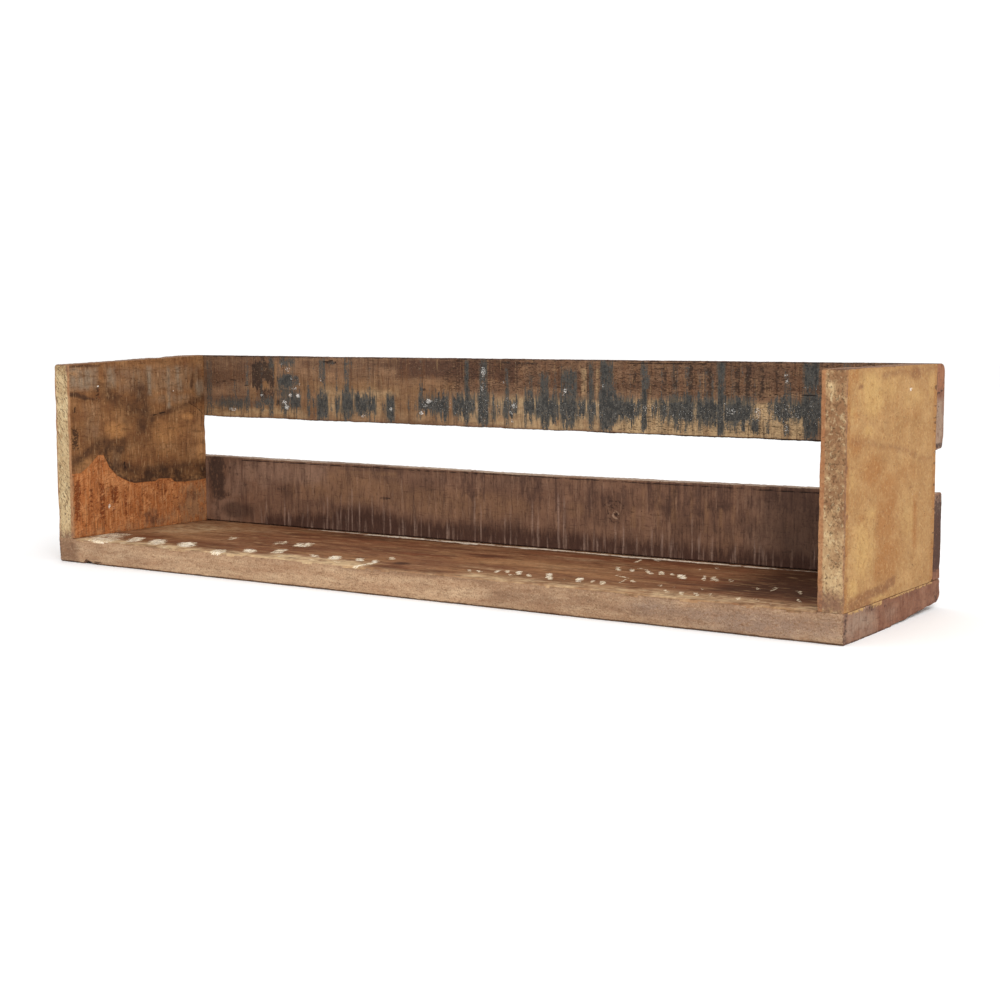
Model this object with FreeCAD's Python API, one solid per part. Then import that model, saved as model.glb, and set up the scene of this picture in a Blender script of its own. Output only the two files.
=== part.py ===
"""A wall shelf of five reclaimed boards: a base, two sides that stand on it and two slats across the back.

X runs along the shelf, Y from its open front to the wall, and Z up. All lengths are in millimetres.
The wall is the plane Y = 0. The origin is midway between the two keyholes that the wall screws enter.
"""
import FreeCAD
import Part
import os

V = FreeCAD.Vector

# Overall size
shelf_length = 800.0
shelf_depth = 200.0
shelf_height = 195.0

# Boards
base_thickness = 23.0
side_thickness = 20.0
slat_thickness = 17.0
upper_slat_height = 65.0
lower_slat_height = 68.0
left_side_slope = 6.0  # the left side's top falls this much from its rear to its front

# Worn and eased edges of the base
base_front_upper_round = 4.0
base_front_lower_round = 2.6
base_rear_lower_round = 8.0
base_rear_upper_round = 2.4

# Worn and eased edges of the sides
side_front_upper_round = 3.0
side_rear_upper_round = 2.0
side_foot_round = 0.8

# Worn and eased edges of the slats
upper_slat_rear_upper_round = 7.0
upper_slat_rear_lower_round = 4.5
lower_slat_rear_round = 3.5
slat_front_round = 1.5

# Chip out of the base's lower front edge
chip_from_left = 32.0
chip_width = 18.0
chip_height = 4.2
chip_peak_share = 0.18  # of its width, from its left
chip_reach = 14.0  # how far back under the board it fades out

# Countersunk wood screws, up through the base into the sides
fastener_clearance = 0.1
screw_tip_share = 1.6  # the tip's length, of the shank's radius
base_screw_length = 52.0
base_screw_radius = 2.2
base_screw_head_radius = 4.2
base_screw_sink = 0.3
base_screw_depth_shares = (0.28, 0.8)  # along the side's foot, from its rear

# Wedge-shaped nails, through the slats into the sides and through the base into the lower slat
nail_length = 45.0
nail_width = 2.8
nail_point_width = 1.4
nail_thickness = 2.2
nail_head_width = 5.0
nail_head_height = 1.3
nail_point_length = 3.0
nail_sink = 0.4
slat_nail_height_shares = (0.24, 0.76)  # up the slat's end
foot_nail_depth_share = 0.62  # through the lower slat's foot, from the wall
foot_nail_length_shares = (0.24, 0.5, 0.76)  # along the shelf, from its left end

# Keyhole hangers, let into the back of the upper slat
hanger_inset = 100.0  # from the shelf's end to the hanger's middle
hanger_plate_length = 44.0
hanger_plate_width = 17.0
hanger_plate_thickness = 2.0
hanger_fit = 0.3
keyhole_entry_radius = 5.0
keyhole_slot_radius = 2.4
keyhole_rise = 9.0
pocket_margin = 1.0
pocket_depth = 6.5
hanger_screw_spacing = 33.0
hanger_screw_length = 13.0
hanger_screw_radius = 1.5
hanger_screw_head_radius = 3.0
hanger_screw_sink = 0.05

overrun = 5.0  # how far a cut runs past a face

# Levels and places that follow from the sizes above
plate_middle_z = keyhole_rise / 2
top_z = plate_middle_z + upper_slat_height / 2
floor_z = top_z - shelf_height
base_top_z = floor_z + base_thickness
upper_slat_z = top_z - upper_slat_height
front_y = -shelf_depth
slat_front_y = -slat_thickness
side_depth = shelf_depth - slat_thickness
left_x = -shelf_length / 2
right_x = shelf_length / 2
side_middle_x = right_x - side_thickness / 2
hanger_x = right_x - hanger_inset

UP = V(0, 0, 1)
FORWARD = V(0, -1, 0)


def edge_through(shape, point):
    """The edge that passes nearest to this point."""
    return min(shape.Edges, key=lambda edge: edge.distToShape(Part.Vertex(point))[0])


def prism(outline, run):
    """A straight solid with this outline across its run."""
    return Part.Face(Part.makePolygon(outline + outline[:1])).extrude(run)


def plank(outline, rounds, run):
    """A board with square ends and this outline across its run, each long edge worn to its own radius."""
    board = prism(outline, run)
    for corner, radius in zip(outline, rounds):
        board = board.makeFillet(radius, [edge_through(board, corner + run / 2)])
    return board


def outline_at(x, front_y, rear_y, low_z, front_high_z, rear_high_z):
    """Four corners in the plane of this X: front low, front high, rear high, rear low."""
    return [
        V(x, front_y, low_z),
        V(x, front_y, front_high_z),
        V(x, rear_y, rear_high_z),
        V(x, rear_y, low_z),
    ]


def base_board(cuts):
    outline = outline_at(left_x, front_y, 0, floor_z, base_top_z, base_top_z)
    front_rounds = (base_front_lower_round, base_front_upper_round)
    rounds = front_rounds + (base_rear_upper_round, base_rear_lower_round)
    return plank(outline, rounds, V(shelf_length, 0, 0)).cut([chip()] + cuts)


def chip():
    """A knock out of the base's lower front edge, steep on its left, that runs to a point under the board."""
    left = V(left_x + chip_from_left, front_y, floor_z)
    right = left + V(chip_width, 0, 0)
    foot = left + V(chip_peak_share * chip_width, 0, 0)
    peak = foot + V(0, 0, chip_height)
    far = foot - FORWARD * chip_reach
    faces = [
        Part.Face(Part.makePolygon([*corners, corners[0]]))
        for corners in ((left, peak, right), (left, right, far), (left, far, peak), (right, peak, far))
    ]
    return Part.Solid(Part.Shell(faces))


def side_board(x, slope, cuts):
    outline = outline_at(x, front_y, slat_front_y, base_top_z, top_z - slope, top_z)
    rounds = (side_foot_round, side_front_upper_round, side_rear_upper_round, side_foot_round)
    return plank(outline, rounds, V(side_thickness, 0, 0)).cut(cuts)


def back_slat(low_z, height, rear_upper_round, rear_lower_round, cuts):
    outline = outline_at(left_x, slat_front_y, 0, low_z, low_z + height, low_z + height)
    rounds = (slat_front_round, slat_front_round, rear_upper_round, rear_lower_round)
    return plank(outline, rounds, V(shelf_length, 0, 0)).cut(cuts)


def revolved(profile):
    """A solid turned about the Z axis from points at Y = 0."""
    return Part.Face(Part.makePolygon(profile + profile[:1])).revolve(V(0, 0, 0), UP, 360)


def screw_and_hole(length, shank_radius, head_radius):
    """A countersunk screw that points up from its head's face at zero, with a plain shank, and its hole."""
    shoulder = head_radius - shank_radius
    screw = revolved([
        V(0, 0, 0),
        V(head_radius, 0, 0),
        V(shank_radius, 0, shoulder),
        V(shank_radius, 0, length - screw_tip_share * shank_radius),
        V(0, 0, length),
    ])
    mouth_radius = head_radius + fastener_clearance
    bore_radius = shank_radius + fastener_clearance
    bore_end = length + fastener_clearance
    hole = revolved([
        V(0, 0, -overrun),
        V(mouth_radius, 0, -overrun),
        V(mouth_radius, 0, 0),
        V(bore_radius, 0, shoulder),
        V(bore_radius, 0, bore_end),
        V(0, 0, bore_end),
    ])
    return screw, hole


def nail_and_hole():
    """A nail that points up from its head's face at zero, a wedge of even thickness, and its hole."""
    return nail_shape(0, 0), nail_shape(fastener_clearance, overrun)


def nail_shape(gap, lead):
    """The nail, grown by a gap all round, with a lead past its head."""
    half_thickness = nail_thickness / 2 + gap
    right_side = [
        V(nail_head_width / 2 + gap, -half_thickness, -lead),
        V(nail_head_width / 2 + gap, -half_thickness, nail_head_height + gap),
        V(nail_width / 2 + gap, -half_thickness, nail_head_height + gap),
        V(nail_point_width / 2 + gap, -half_thickness, nail_length - nail_point_length),
    ]
    point = V(0, -half_thickness, nail_length + gap)
    return prism(right_side + [point] + mirrored_x(right_side[::-1]), V(0, 2 * half_thickness, 0))


def placed(shape, point, direction):
    """A copy of a shape that points up from zero, moved to a point and turned to a direction."""
    copy = shape.copy()
    copy.Placement = FreeCAD.Placement(point, FreeCAD.Rotation(UP, direction))
    return copy


def placed_all(shape, points, direction):
    return [placed(shape, point, direction) for point in points]


def mirrored_x(points):
    return [V(-point.x, point.y, point.z) for point in points]


def base_screw_points():
    """Up through the base into the right side's foot."""
    z = floor_z + base_screw_sink
    return [V(side_middle_x, slat_front_y - share * side_depth, z) for share in base_screw_depth_shares]


def foot_nail_points():
    """Up through the base into the lower slat's foot, clear of the base's worn rear edge."""
    y = -foot_nail_depth_share * slat_thickness
    z = floor_z + nail_sink
    return [V(left_x + share * shelf_length, y, z) for share in foot_nail_length_shares]


def slat_nail_points(low_z, height):
    """Forward through a slat's right end into the right side's rear edge."""
    return [V(side_middle_x, -nail_sink, low_z + share * height) for share in slat_nail_height_shares]


def keyhole(entry_radius, slot_radius, rise, depth):
    """A round entry with a slot that rises from it, from the wall plane towards the front."""
    entry = Part.makeCylinder(entry_radius, depth, V(0, 0, 0), FORWARD)
    slot_end = Part.makeCylinder(slot_radius, depth, V(0, 0, rise), FORWARD)
    slot = Part.makeBox(2 * slot_radius, depth, rise, V(-slot_radius, -depth, 0))
    return entry.fuse([slot_end, slot]).removeSplitter()


def obround(radius, low_z, high_z, depth):
    """An upright plate with round ends about two levels, from the wall plane towards the front."""
    return keyhole(radius, radius, high_z - low_z, depth).translated(V(0, 0, low_z))


def keyhole_hanger(screw_hole):
    """A steel strip with round ends, about its keyhole's entry, flush with the wall plane."""
    radius = hanger_plate_width / 2
    reach = hanger_plate_length / 2 - radius
    plate = obround(radius, plate_middle_z - reach, plate_middle_z + reach, hanger_plate_thickness)
    opening_depth = hanger_plate_thickness + 2 * overrun
    opening = keyhole(keyhole_entry_radius, keyhole_slot_radius, keyhole_rise, opening_depth)
    plate = plate.cut(opening.translated(V(0, overrun, 0)))
    return plate.cut(placed_all(screw_hole, hanger_screw_points(), FORWARD))


def hanger_recess():
    """The routing for a hanger: the plate's bed and, behind it, a pocket for a wall screw's head."""
    bed_radius = hanger_plate_width / 2 + hanger_fit
    reach = hanger_plate_length / 2 - hanger_plate_width / 2
    bed_depth = overrun + hanger_plate_thickness
    bed = obround(bed_radius, plate_middle_z - reach, plate_middle_z + reach, bed_depth)
    pocket = obround(keyhole_entry_radius + pocket_margin, 0, keyhole_rise, bed_depth + pocket_depth)
    return bed.fuse(pocket).translated(V(0, overrun, 0))


def hanger_screw_points():
    """A hanger's two screws, about its keyhole's entry."""
    reach = hanger_screw_spacing / 2
    return [V(0, -hanger_screw_sink, plate_middle_z + side * reach) for side in (-1, 1)]


def save(name, solids):
    shape = solids[0] if len(solids) == 1 else Part.makeCompound(solids)
    for solid in shape.Solids:
        if not solid.isValid():
            raise ValueError(name + " has a solid that isn't valid")
    shape.exportStep(os.path.join("parts", name + ".step"))


def main():
    os.makedirs("parts", exist_ok=True)

    base_screw, base_screw_hole = screw_and_hole(
        base_screw_length, base_screw_radius, base_screw_head_radius
    )
    hanger_screw, hanger_screw_hole = screw_and_hole(
        hanger_screw_length, hanger_screw_radius, hanger_screw_head_radius
    )
    nail, nail_hole = nail_and_hole()

    right_base = base_screw_points()
    left_base = mirrored_x(right_base)
    foot = foot_nail_points()
    right_upper = slat_nail_points(upper_slat_z, upper_slat_height)
    left_upper = mirrored_x(right_upper)
    right_lower = slat_nail_points(base_top_z, lower_slat_height)
    left_lower = mirrored_x(right_lower)
    hanger_places = (V(-hanger_x, 0, 0), V(hanger_x, 0, 0))
    left_hanger, right_hanger = [
        [point + place for point in hanger_screw_points()] for place in hanger_places
    ]

    base_holes = placed_all(base_screw_hole, left_base + right_base, UP)
    foot_holes = placed_all(nail_hole, foot, UP)
    upper_holes = placed_all(nail_hole, left_upper + right_upper, FORWARD)
    lower_holes = placed_all(nail_hole, left_lower + right_lower, FORWARD)
    hanger_cuts = [hanger_recess().translated(place) for place in hanger_places]
    hanger_cuts += placed_all(hanger_screw_hole, left_hanger + right_hanger, FORWARD)

    side_holes = base_holes + upper_holes + lower_holes
    save("base_board", [base_board(base_holes + foot_holes)])
    save("left_side_board", [side_board(left_x, left_side_slope, side_holes)])
    save("right_side_board", [side_board(right_x - side_thickness, 0, side_holes)])
    upper_slat = back_slat(
        upper_slat_z,
        upper_slat_height,
        upper_slat_rear_upper_round,
        upper_slat_rear_lower_round,
        upper_holes + hanger_cuts,
    )
    lower_slat = back_slat(
        base_top_z,
        lower_slat_height,
        lower_slat_rear_round,
        slat_front_round,
        lower_holes + foot_holes,
    )
    save("upper_back_slat", [upper_slat])
    save("lower_back_slat", [lower_slat])

    for name, fastener, points, direction in (
        ("left_base_screws", base_screw, left_base, UP),
        ("right_base_screws", base_screw, right_base, UP),
        ("lower_slat_foot_nails", nail, foot, UP),
        ("upper_slat_left_nails", nail, left_upper, FORWARD),
        ("upper_slat_right_nails", nail, right_upper, FORWARD),
        ("lower_slat_left_nails", nail, left_lower, FORWARD),
        ("lower_slat_right_nails", nail, right_lower, FORWARD),
        ("left_hanger_screws", hanger_screw, left_hanger, FORWARD),
        ("right_hanger_screws", hanger_screw, right_hanger, FORWARD),
    ):
        save(name, placed_all(fastener, points, direction))
    for side, place in zip(("left", "right"), hanger_places):
        save(side + "_keyhole_hanger", [keyhole_hanger(hanger_screw_hole).translated(place)])


main()
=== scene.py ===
import math

import bmesh
import bpy
import numpy as np
from mathutils import Matrix, Vector


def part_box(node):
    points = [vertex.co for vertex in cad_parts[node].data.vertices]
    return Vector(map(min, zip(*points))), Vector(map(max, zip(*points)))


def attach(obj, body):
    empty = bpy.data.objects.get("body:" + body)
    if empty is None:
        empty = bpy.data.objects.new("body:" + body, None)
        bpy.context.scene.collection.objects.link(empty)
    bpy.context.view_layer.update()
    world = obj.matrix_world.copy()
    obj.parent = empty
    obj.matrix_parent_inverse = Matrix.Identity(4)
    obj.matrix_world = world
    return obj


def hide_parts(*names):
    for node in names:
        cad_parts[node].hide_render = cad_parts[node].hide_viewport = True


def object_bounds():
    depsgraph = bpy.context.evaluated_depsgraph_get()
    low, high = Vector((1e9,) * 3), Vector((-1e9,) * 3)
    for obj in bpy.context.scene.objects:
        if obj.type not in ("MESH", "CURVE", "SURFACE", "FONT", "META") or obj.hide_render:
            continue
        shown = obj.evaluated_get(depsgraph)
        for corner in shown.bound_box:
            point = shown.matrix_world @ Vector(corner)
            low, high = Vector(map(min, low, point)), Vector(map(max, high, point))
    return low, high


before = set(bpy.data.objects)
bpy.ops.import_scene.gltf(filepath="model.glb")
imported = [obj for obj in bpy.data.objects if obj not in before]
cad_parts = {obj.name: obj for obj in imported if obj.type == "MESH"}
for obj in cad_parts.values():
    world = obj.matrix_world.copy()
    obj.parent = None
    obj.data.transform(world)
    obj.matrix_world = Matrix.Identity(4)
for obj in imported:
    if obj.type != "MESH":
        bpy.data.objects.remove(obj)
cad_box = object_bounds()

MM = 0.001

# The camera, fitted to the board corners in the photograph
CAMERA_PLACE = Vector((847.9, -1309.8, 68.8)) * MM
CAMERA_TURN = 33.615  # degrees, to the left of straight at the wall
CAMERA_TIP = -5.96
CAMERA_ROLL = -0.125
CAMERA_LENS = 60.79
CAMERA_SENSOR = 36.0

# The light and the floor, in metres and watts
SOFTBOX_PLACE = Vector((1.7, -1.8, 1.5))
SOFTBOX_AIM = Vector((0, -0.1, 0))
SOFTBOX_SIZE = 1.2
SOFTBOX_WATTS = 34
ROOM_BRIGHTNESS = 1.1
FLOOR_SIZE = 16
FLOOR_WHITE = 0.92

# The planes of the boards' faces, in millimetres, as all that follows
BASE_TOP_Z = -135.0
BASE_FRONT_Y = -200.0  # and the sides' front edges
SLAT_FRONT_Y = -17.0
SIDE_INNER_X = 380.0  # on the right, and the same on the left
END_X = 400.0  # the right ends, and the right side's outer face
FACE_REACH = 2.5  # a face's marks also reach corners this near to its plane

# The boards' worn arrises
BASE_FRONT_UPPER_ROUND = 4.0
BASE_FRONT_LOWER_ROUND = 2.6
BASE_REAR_LOWER_ROUND = 8.0
BASE_REAR_UPPER_ROUND = 2.4
SIDE_FRONT_UPPER_ROUND = 3.0
SIDE_REAR_UPPER_ROUND = 2.0
SIDE_FOOT_ROUND = 0.6
RIGHT_REAR_FOOT_ROUND = 5.0  # worn off the right side alone
UPPER_SLAT_REAR_UPPER_ROUND = 7.0
UPPER_SLAT_REAR_LOWER_ROUND = 4.5
LOWER_SLAT_REAR_ROUND = 3.5
SLAT_FRONT_ROUND = 1.5
SAWN_ARRIS = 0.7  # all other arrises
ARRIS_WEAR = 0.6  # how deep knocks and rubbing have gone along the arrises
ARRIS_REACH = 5.0
FACE_WEAR = 0.3  # how deep the faces' broad hollows are

LEFT_SIDE_SLOPE = 6.0  # the left side's top falls this much to its front

# How far the slats' long edges wander up or down, from pairs of a place along X and a shift
UPPER_SLAT_TOP_SHIFT = ((-400, 0), (-100, -0.3), (130, -0.3), (400, 0))
UPPER_SLAT_FOOT_SHIFT = (
    (-400, 2.6), (-330, 2.4), (-200, 1.8), (-100, 1.5), (0, 1.1), (150, 0.8), (300, 0.5), (372, 0),
    (400, -2.6),
)
LOWER_SLAT_TOP_SHIFT = (
    (-400, 0), (-300, -0.6), (-150, -0.7), (0, -1.4), (100, -1.2), (200, 0), (300, 0.8), (400, 1.8),
)
NO_SHIFT = ((-400, 0), (400, 0))

# The chip out of the base's lower front arris
CHIP_PEAK_X = -364.8
CHIP_PEAK_SHARE = 0.18
CHIP_WIDTH = 18.0
CHIP_HEIGHT = 4.4
CHIP_REACH = 14.0
CHIP_LIFT_REACH = 12.0  # how far up the front edge the wood round the chip is drawn with it

REAR_WEAR = 5.5  # how much of the underside is worn away at its rear right corner
REAR_WEAR_REACH = 130.0  # how far from the wall that wear begins
REAR_WEAR_START = 300.0  # where along X it begins
REAR_WEAR_RUN = 80.0  # over how much of X it grows

SAW_PITCH = 1.3  # how far apart the saw's marks stand on the slats

# The fasteners, as the construction has them
BASE_SCREW_HEAD = 4.2  # radius
BASE_SCREW_SHANK = 2.2
BASE_SCREW_LENGTH = 52.0
HANGER_SCREW_HEAD = 3.0
HANGER_SCREW_SHANK = 1.5
HANGER_SCREW_LENGTH = 13.0
SCREW_TIP = 1.6  # the tip's length, of the shank's radius
CROSS_LENGTH, CROSS_WIDTH, CROSS_DEPTH = 0.56, 0.13, 0.5  # the driver's cross, of the head's radius
SCREW_PLAY = 0.1
HANGER_X = 300.0
HANGER_BED_RADIUS = 8.8
HANGER_BED_ENDS_Z = (-9, 18)  # the middles of its round ends
HANGER_BED_FLOOR_Y = -2
POCKET_RADIUS = 6
POCKET_ENDS_Z = (0, 9)
POCKET_FLOOR_Y = -8.5
CUT_PAST = 2  # how far a nail's recess is cut past the board's face
NAIL_PLAY = Vector((0.1, 0.1, 0.1))
NAIL_HEAD = Vector((2.5, 1.1, 1.3))  # half its width, half its thickness and its height
BASE_SCREW_NODES = ("left_base_screws", "right_base_screws")
HANGER_SCREW_NODES = ("left_hanger_screws", "right_hanger_screws")

X, Y, Z = 0, 1, 2


def millimetres(point):
    return Vector(point) / MM


# Modelling of the boards


def add_form(primitive, **settings):
    """Adds a form with one of Blender's own operators, its place, turn and scale worked into its mesh."""
    bpy.ops.object.select_all(action="DESELECT")
    primitive(**settings)
    bpy.ops.object.transform_apply(location=True, rotation=True, scale=True)
    return bpy.context.object


def start_block(name, low, high):
    """A block between two corners in millimetres, left open in edit mode."""
    middle = (low + high) / 2 * MM
    block = add_form(bpy.ops.mesh.primitive_cube_add, size=1, location=middle, scale=(high - low) * MM)
    block.name = block.data.name = name
    bpy.ops.object.mode_set(mode="EDIT")
    return block


def select_edges(block, wanted):
    """Selects each edge whose two ends, in millimetres, pass a test."""
    bpy.context.tool_settings.mesh_select_mode = (False, True, False)
    bpy.ops.mesh.select_all(action="DESELECT")
    form = bmesh.from_edit_mesh(block.data)
    for edge in form.edges:
        edge.select_set(wanted(*(end.co / MM for end in edge.verts)))
    bmesh.update_edit_mesh(block.data)


def select_arris(block, y, z):
    """Selects the edge along X at this place."""
    select_edges(block, lambda a, b: all(math.hypot(end.y - y, end.z - z) < 0.1 for end in (a, b)))


def round_arris(block, y, z, radius):
    """Wears the arris along X at this place to a radius."""
    select_arris(block, y, z)
    bpy.ops.mesh.bevel(offset=radius * MM, segments=4, affect="EDGES")


def ease_ends(block, low_x, high_x):
    """Takes the sharpness off the arrises round both faces across X."""
    def round_face(a, b):
        return abs(a.x - b.x) < 0.01 and min(abs(a.x - low_x), abs(a.x - high_x)) < 0.01

    select_edges(block, round_face)
    bpy.ops.mesh.bevel(offset=SAWN_ARRIS * MM, segments=2, affect="EDGES")


def cut_rows(block, axis, low, high, pitch):
    """Cuts the block across an axis into even rows of about one pitch."""
    normal = [0, 0, 0]
    normal[axis] = 1
    count = round((high[axis] - low[axis]) / pitch)
    for row in range(1, count):
        place = Vector(low)
        place[axis] += (high[axis] - low[axis]) * row / count
        bpy.ops.mesh.select_all(action="SELECT")
        bpy.ops.mesh.bisect(plane_co=place * MM, plane_no=normal)


def cut_lengths(block, axis, length, pitch):
    """Cuts the long edges that lie along an axis into lengths of about one pitch, in two goes."""
    first = 60
    second = round(length / first / pitch) - 1
    for cuts, part in ((first, length), (second, length / first)):
        def lies_along(a, b):
            run = abs(a[axis] - b[axis])
            return run > 0.7 * part and (a - b).length < 1.02 * run

        select_edges(block, lies_along)
        bpy.ops.mesh.subdivide(number_cuts=cuts)


def close_block(block):
    """Ends the modelling in edit mode."""
    bpy.ops.mesh.select_all(action="SELECT")
    bpy.ops.mesh.remove_doubles(threshold=0.04 * MM)
    bpy.ops.object.mode_set(mode="OBJECT")


def corner_places(piece):
    """The mesh's corners in millimetres, one row each."""
    places = np.empty(len(piece.data.vertices) * 3)
    piece.data.vertices.foreach_get("co", places)
    return places.reshape(-1, 3) / MM


def move_corners(piece, places):
    piece.data.vertices.foreach_set("co", (places * MM).ravel())
    piece.data.update()


def roughen(piece, sizes, depth, seed, group="", level=0.5):
    """Makes the surface uneven by a noise in marks of these sizes: hollow under the level, raised above it.

    A hollow reaches the depth where the noise falls a third short of the level. All is in millimetres.
    """
    steepness = 3.0
    unevenness = bpy.data.textures.new("unevenness", "CLOUDS")
    unevenness.noise_scale = 1.0
    unevenness.noise_depth = 2
    unevenness.contrast = steepness
    unevenness.intensity = steepness - steepness * level
    bpy.ops.object.empty_add(location=Vector((seed * 1.7, seed * 0.9, seed * 2.3)) * 10 * MM)
    ruler = bpy.context.object
    ruler.scale = Vector(sizes) * MM
    bpy.context.view_layer.update()
    bpy.context.view_layer.objects.active = piece
    roughening = piece.modifiers.new("unevenness", "DISPLACE")
    roughening.texture = unevenness
    roughening.texture_coords = "OBJECT"
    roughening.texture_coords_object = ruler
    roughening.strength = depth * MM
    roughening.mid_level = 1.0
    roughening.vertex_group = group
    bpy.ops.object.modifier_apply(modifier=roughening.name)
    bpy.data.objects.remove(ruler)
    bpy.data.textures.remove(unevenness)


def gather_arrises(piece):
    """Gives the piece a group of the corners near its arrises."""
    places = corner_places(piece)
    off_faces = np.minimum(places - places.min(0), places.max(0) - places)
    off_arris = np.sort(off_faces, axis=1)[:, 1]
    near = np.clip(1 - off_arris / ARRIS_REACH, 0, 1)
    group = piece.vertex_groups.new(name="arrises")
    for index in np.nonzero(near)[0]:
        group.add([int(index)], float(near[index]), "REPLACE")


def wear(piece, seed, along, seat):
    """Knocks and rubbing along the arrises, and uneven faces. The seats in the joints stay as they are."""
    unworn = corner_places(piece)
    gather_arrises(piece)
    roughen(piece, along, ARRIS_WEAR, seed, "arrises", 0.46)
    roughen(piece, (9, 9, 9), 0.6 * ARRIS_WEAR, seed + 1, "arrises", 0.38)
    roughen(piece, (60, 60, 60), FACE_WEAR, seed + 2)
    kept = np.clip(seat(unworn), 0, 1)[:, None]
    move_corners(piece, kept * unworn + (1 - kept) * corner_places(piece))


def seat_of_sides(places):
    """Where the sides stand on the base, at both ends of its top."""
    return np.minimum(places[:, Z] - (BASE_TOP_Z - 6), np.abs(places[:, X]) - (SIDE_INNER_X - 4)) / 4


def seat_on_base(places):
    """Where a board stands on the base, at its foot."""
    return (BASE_TOP_Z + 7 - places[:, Z]) / 4


def plane_to_size(board):
    """Takes off what the unevenness has raised past the shelf's overall length, depth and height."""
    low, high = np.array(cad_box) / MM
    move_corners(board, np.clip(corner_places(board), low, high))


def make_base():
    low, high = map(millimetres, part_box("base_board"))
    base = start_block("base_board_worn", low, high)
    round_arris(base, low.y, high.z, BASE_FRONT_UPPER_ROUND)
    round_arris(base, low.y, low.z, BASE_FRONT_LOWER_ROUND)
    round_arris(base, high.y, low.z, BASE_REAR_LOWER_ROUND)
    round_arris(base, high.y, high.z, BASE_REAR_UPPER_ROUND)
    ease_ends(base, low.x, high.x)
    cut_rows(base, Y, low, high, 2.4)
    cut_rows(base, Z, low, high, 2.3)
    cut_lengths(base, X, high.x - low.x, 1.9)
    close_block(base)
    square_up_base_ends(base, low, high)
    wear(base, 3, (40, 16, 16), seat_of_sides)
    roughen(base, (24, 2.6, 2.6), 0.25, 8)
    chip_base(base, low)
    lift_rear_foot(base, low)
    plane_to_size(base)
    drill_base(base)
    return base


def square_up_base_ends(base, low, high):
    """Under the sides the upper front arris was never rounded: there its arc is pushed out to the corner."""
    places = corner_places(base)
    off_y = low.y + BASE_FRONT_UPPER_ROUND - places[:, Y]
    off_z = places[:, Z] - (high.z - BASE_FRONT_UPPER_ROUND)
    on_arc = (off_y > 0) & (off_z > 0)
    furthest = np.maximum(np.maximum(off_y, off_z), 0.01)
    stretch = np.where(on_arc, BASE_FRONT_UPPER_ROUND / furthest, 1) - 1
    stretch *= np.clip((np.abs(places[:, X]) - (SIDE_INNER_X - 3)) / 5, 0, 1)
    places[:, Y] -= off_y * stretch
    places[:, Z] += off_z * stretch
    move_corners(base, places)


def chip_base(base, low):
    """Knocks the chip out of the lower front arris: the arris lifts, and the hollow narrows to a point."""
    places = corner_places(base)
    left = CHIP_PEAK_X - CHIP_PEAK_SHARE * CHIP_WIDTH
    back = np.clip(1 - (places[:, Y] - low.y) / CHIP_REACH, 0.001, 1)
    profile = ((left, 0), (CHIP_PEAK_X, 1), (left + 0.45 * CHIP_WIDTH, 0.6), (left + CHIP_WIDTH, 0))
    across = np.interp(CHIP_PEAK_X + (places[:, X] - CHIP_PEAK_X) / back, *zip(*profile))
    up = np.clip(1 - (places[:, Z] - low.z) / CHIP_LIFT_REACH, 0, 1)
    places[:, Z] += CHIP_HEIGHT * across * back * up
    move_corners(base, places)


def rear_lift(x, y):
    """How far the underside is worn up at a place: at the right end, more and more towards the wall."""
    to_wall = np.clip(1 + y / REAR_WEAR_REACH, 0, 1) ** 1.4
    return REAR_WEAR * to_wall * np.clip((x - REAR_WEAR_START) / REAR_WEAR_RUN, 0, 1)


def lift_rear_foot(base, low):
    """Wears the underside up at its rear right, less and less towards the top."""
    places = corner_places(base)
    down = np.clip(1 - (places[:, Z] - low.z) / 20, 0, 1)
    places[:, Z] += rear_lift(places[:, X], places[:, Y]) * down
    move_corners(base, places)


def make_side(node, slope, rear_foot_round, seed):
    low, high = map(millimetres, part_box(node))
    side = start_block(node + "_worn", low, high)
    if slope:
        select_arris(side, low.y, high.z)
        bpy.ops.transform.translate(value=(0, 0, -slope * MM))
    round_arris(side, low.y, high.z - slope, SIDE_FRONT_UPPER_ROUND)
    round_arris(side, high.y, high.z, SIDE_REAR_UPPER_ROUND)
    round_arris(side, low.y, low.z, SIDE_FOOT_ROUND)
    round_arris(side, high.y, low.z, rear_foot_round)
    ease_ends(side, low.x, high.x)
    cut_rows(side, X, low, high, 2.0)
    cut_rows(side, Y, low, high, 1.4)
    cut_lengths(side, Z, high.z - low.z, 1.4)
    close_block(side)
    wear(side, seed, (16, 16, 36), seat_on_base)
    roughen(side, (3, 1.9, 20), 0.2, seed + 4)
    plane_to_size(side)
    return side


def make_slat(node, rear_upper_round, rear_lower_round, seed):
    low, high = map(millimetres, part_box(node))
    slat = start_block(node + "_worn", low, high)
    round_arris(slat, low.y, high.z, SLAT_FRONT_ROUND)
    round_arris(slat, low.y, low.z, SLAT_FRONT_ROUND)
    round_arris(slat, high.y, high.z, rear_upper_round)
    round_arris(slat, high.y, low.z, rear_lower_round)
    ease_ends(slat, low.x, high.x)
    cut_rows(slat, Y, low, high, 1.9)
    cut_rows(slat, Z, low, high, 1.3)
    cut_lengths(slat, X, high.x - low.x, 1.3)
    close_block(slat)
    wear(slat, seed, (44, 16, 16), seat_on_base)
    roughen(slat, (2.4, 30, 26), 0.25, seed + 4)
    return slat


def warp_edges(slat, top_shift, foot_shift):
    """Moves the slat's long edges up or down along X, from pairs of a place and a shift."""
    places = corner_places(slat)
    low, high = places[:, Z].min(), places[:, Z].max()
    up = (places[:, Z] - low) / (high - low)
    top = np.interp(places[:, X], *zip(*top_shift))
    foot = np.interp(places[:, X], *zip(*foot_shift))
    places[:, Z] += up * top + (1 - up) * foot
    move_corners(slat, places)
    plane_to_size(slat)


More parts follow.
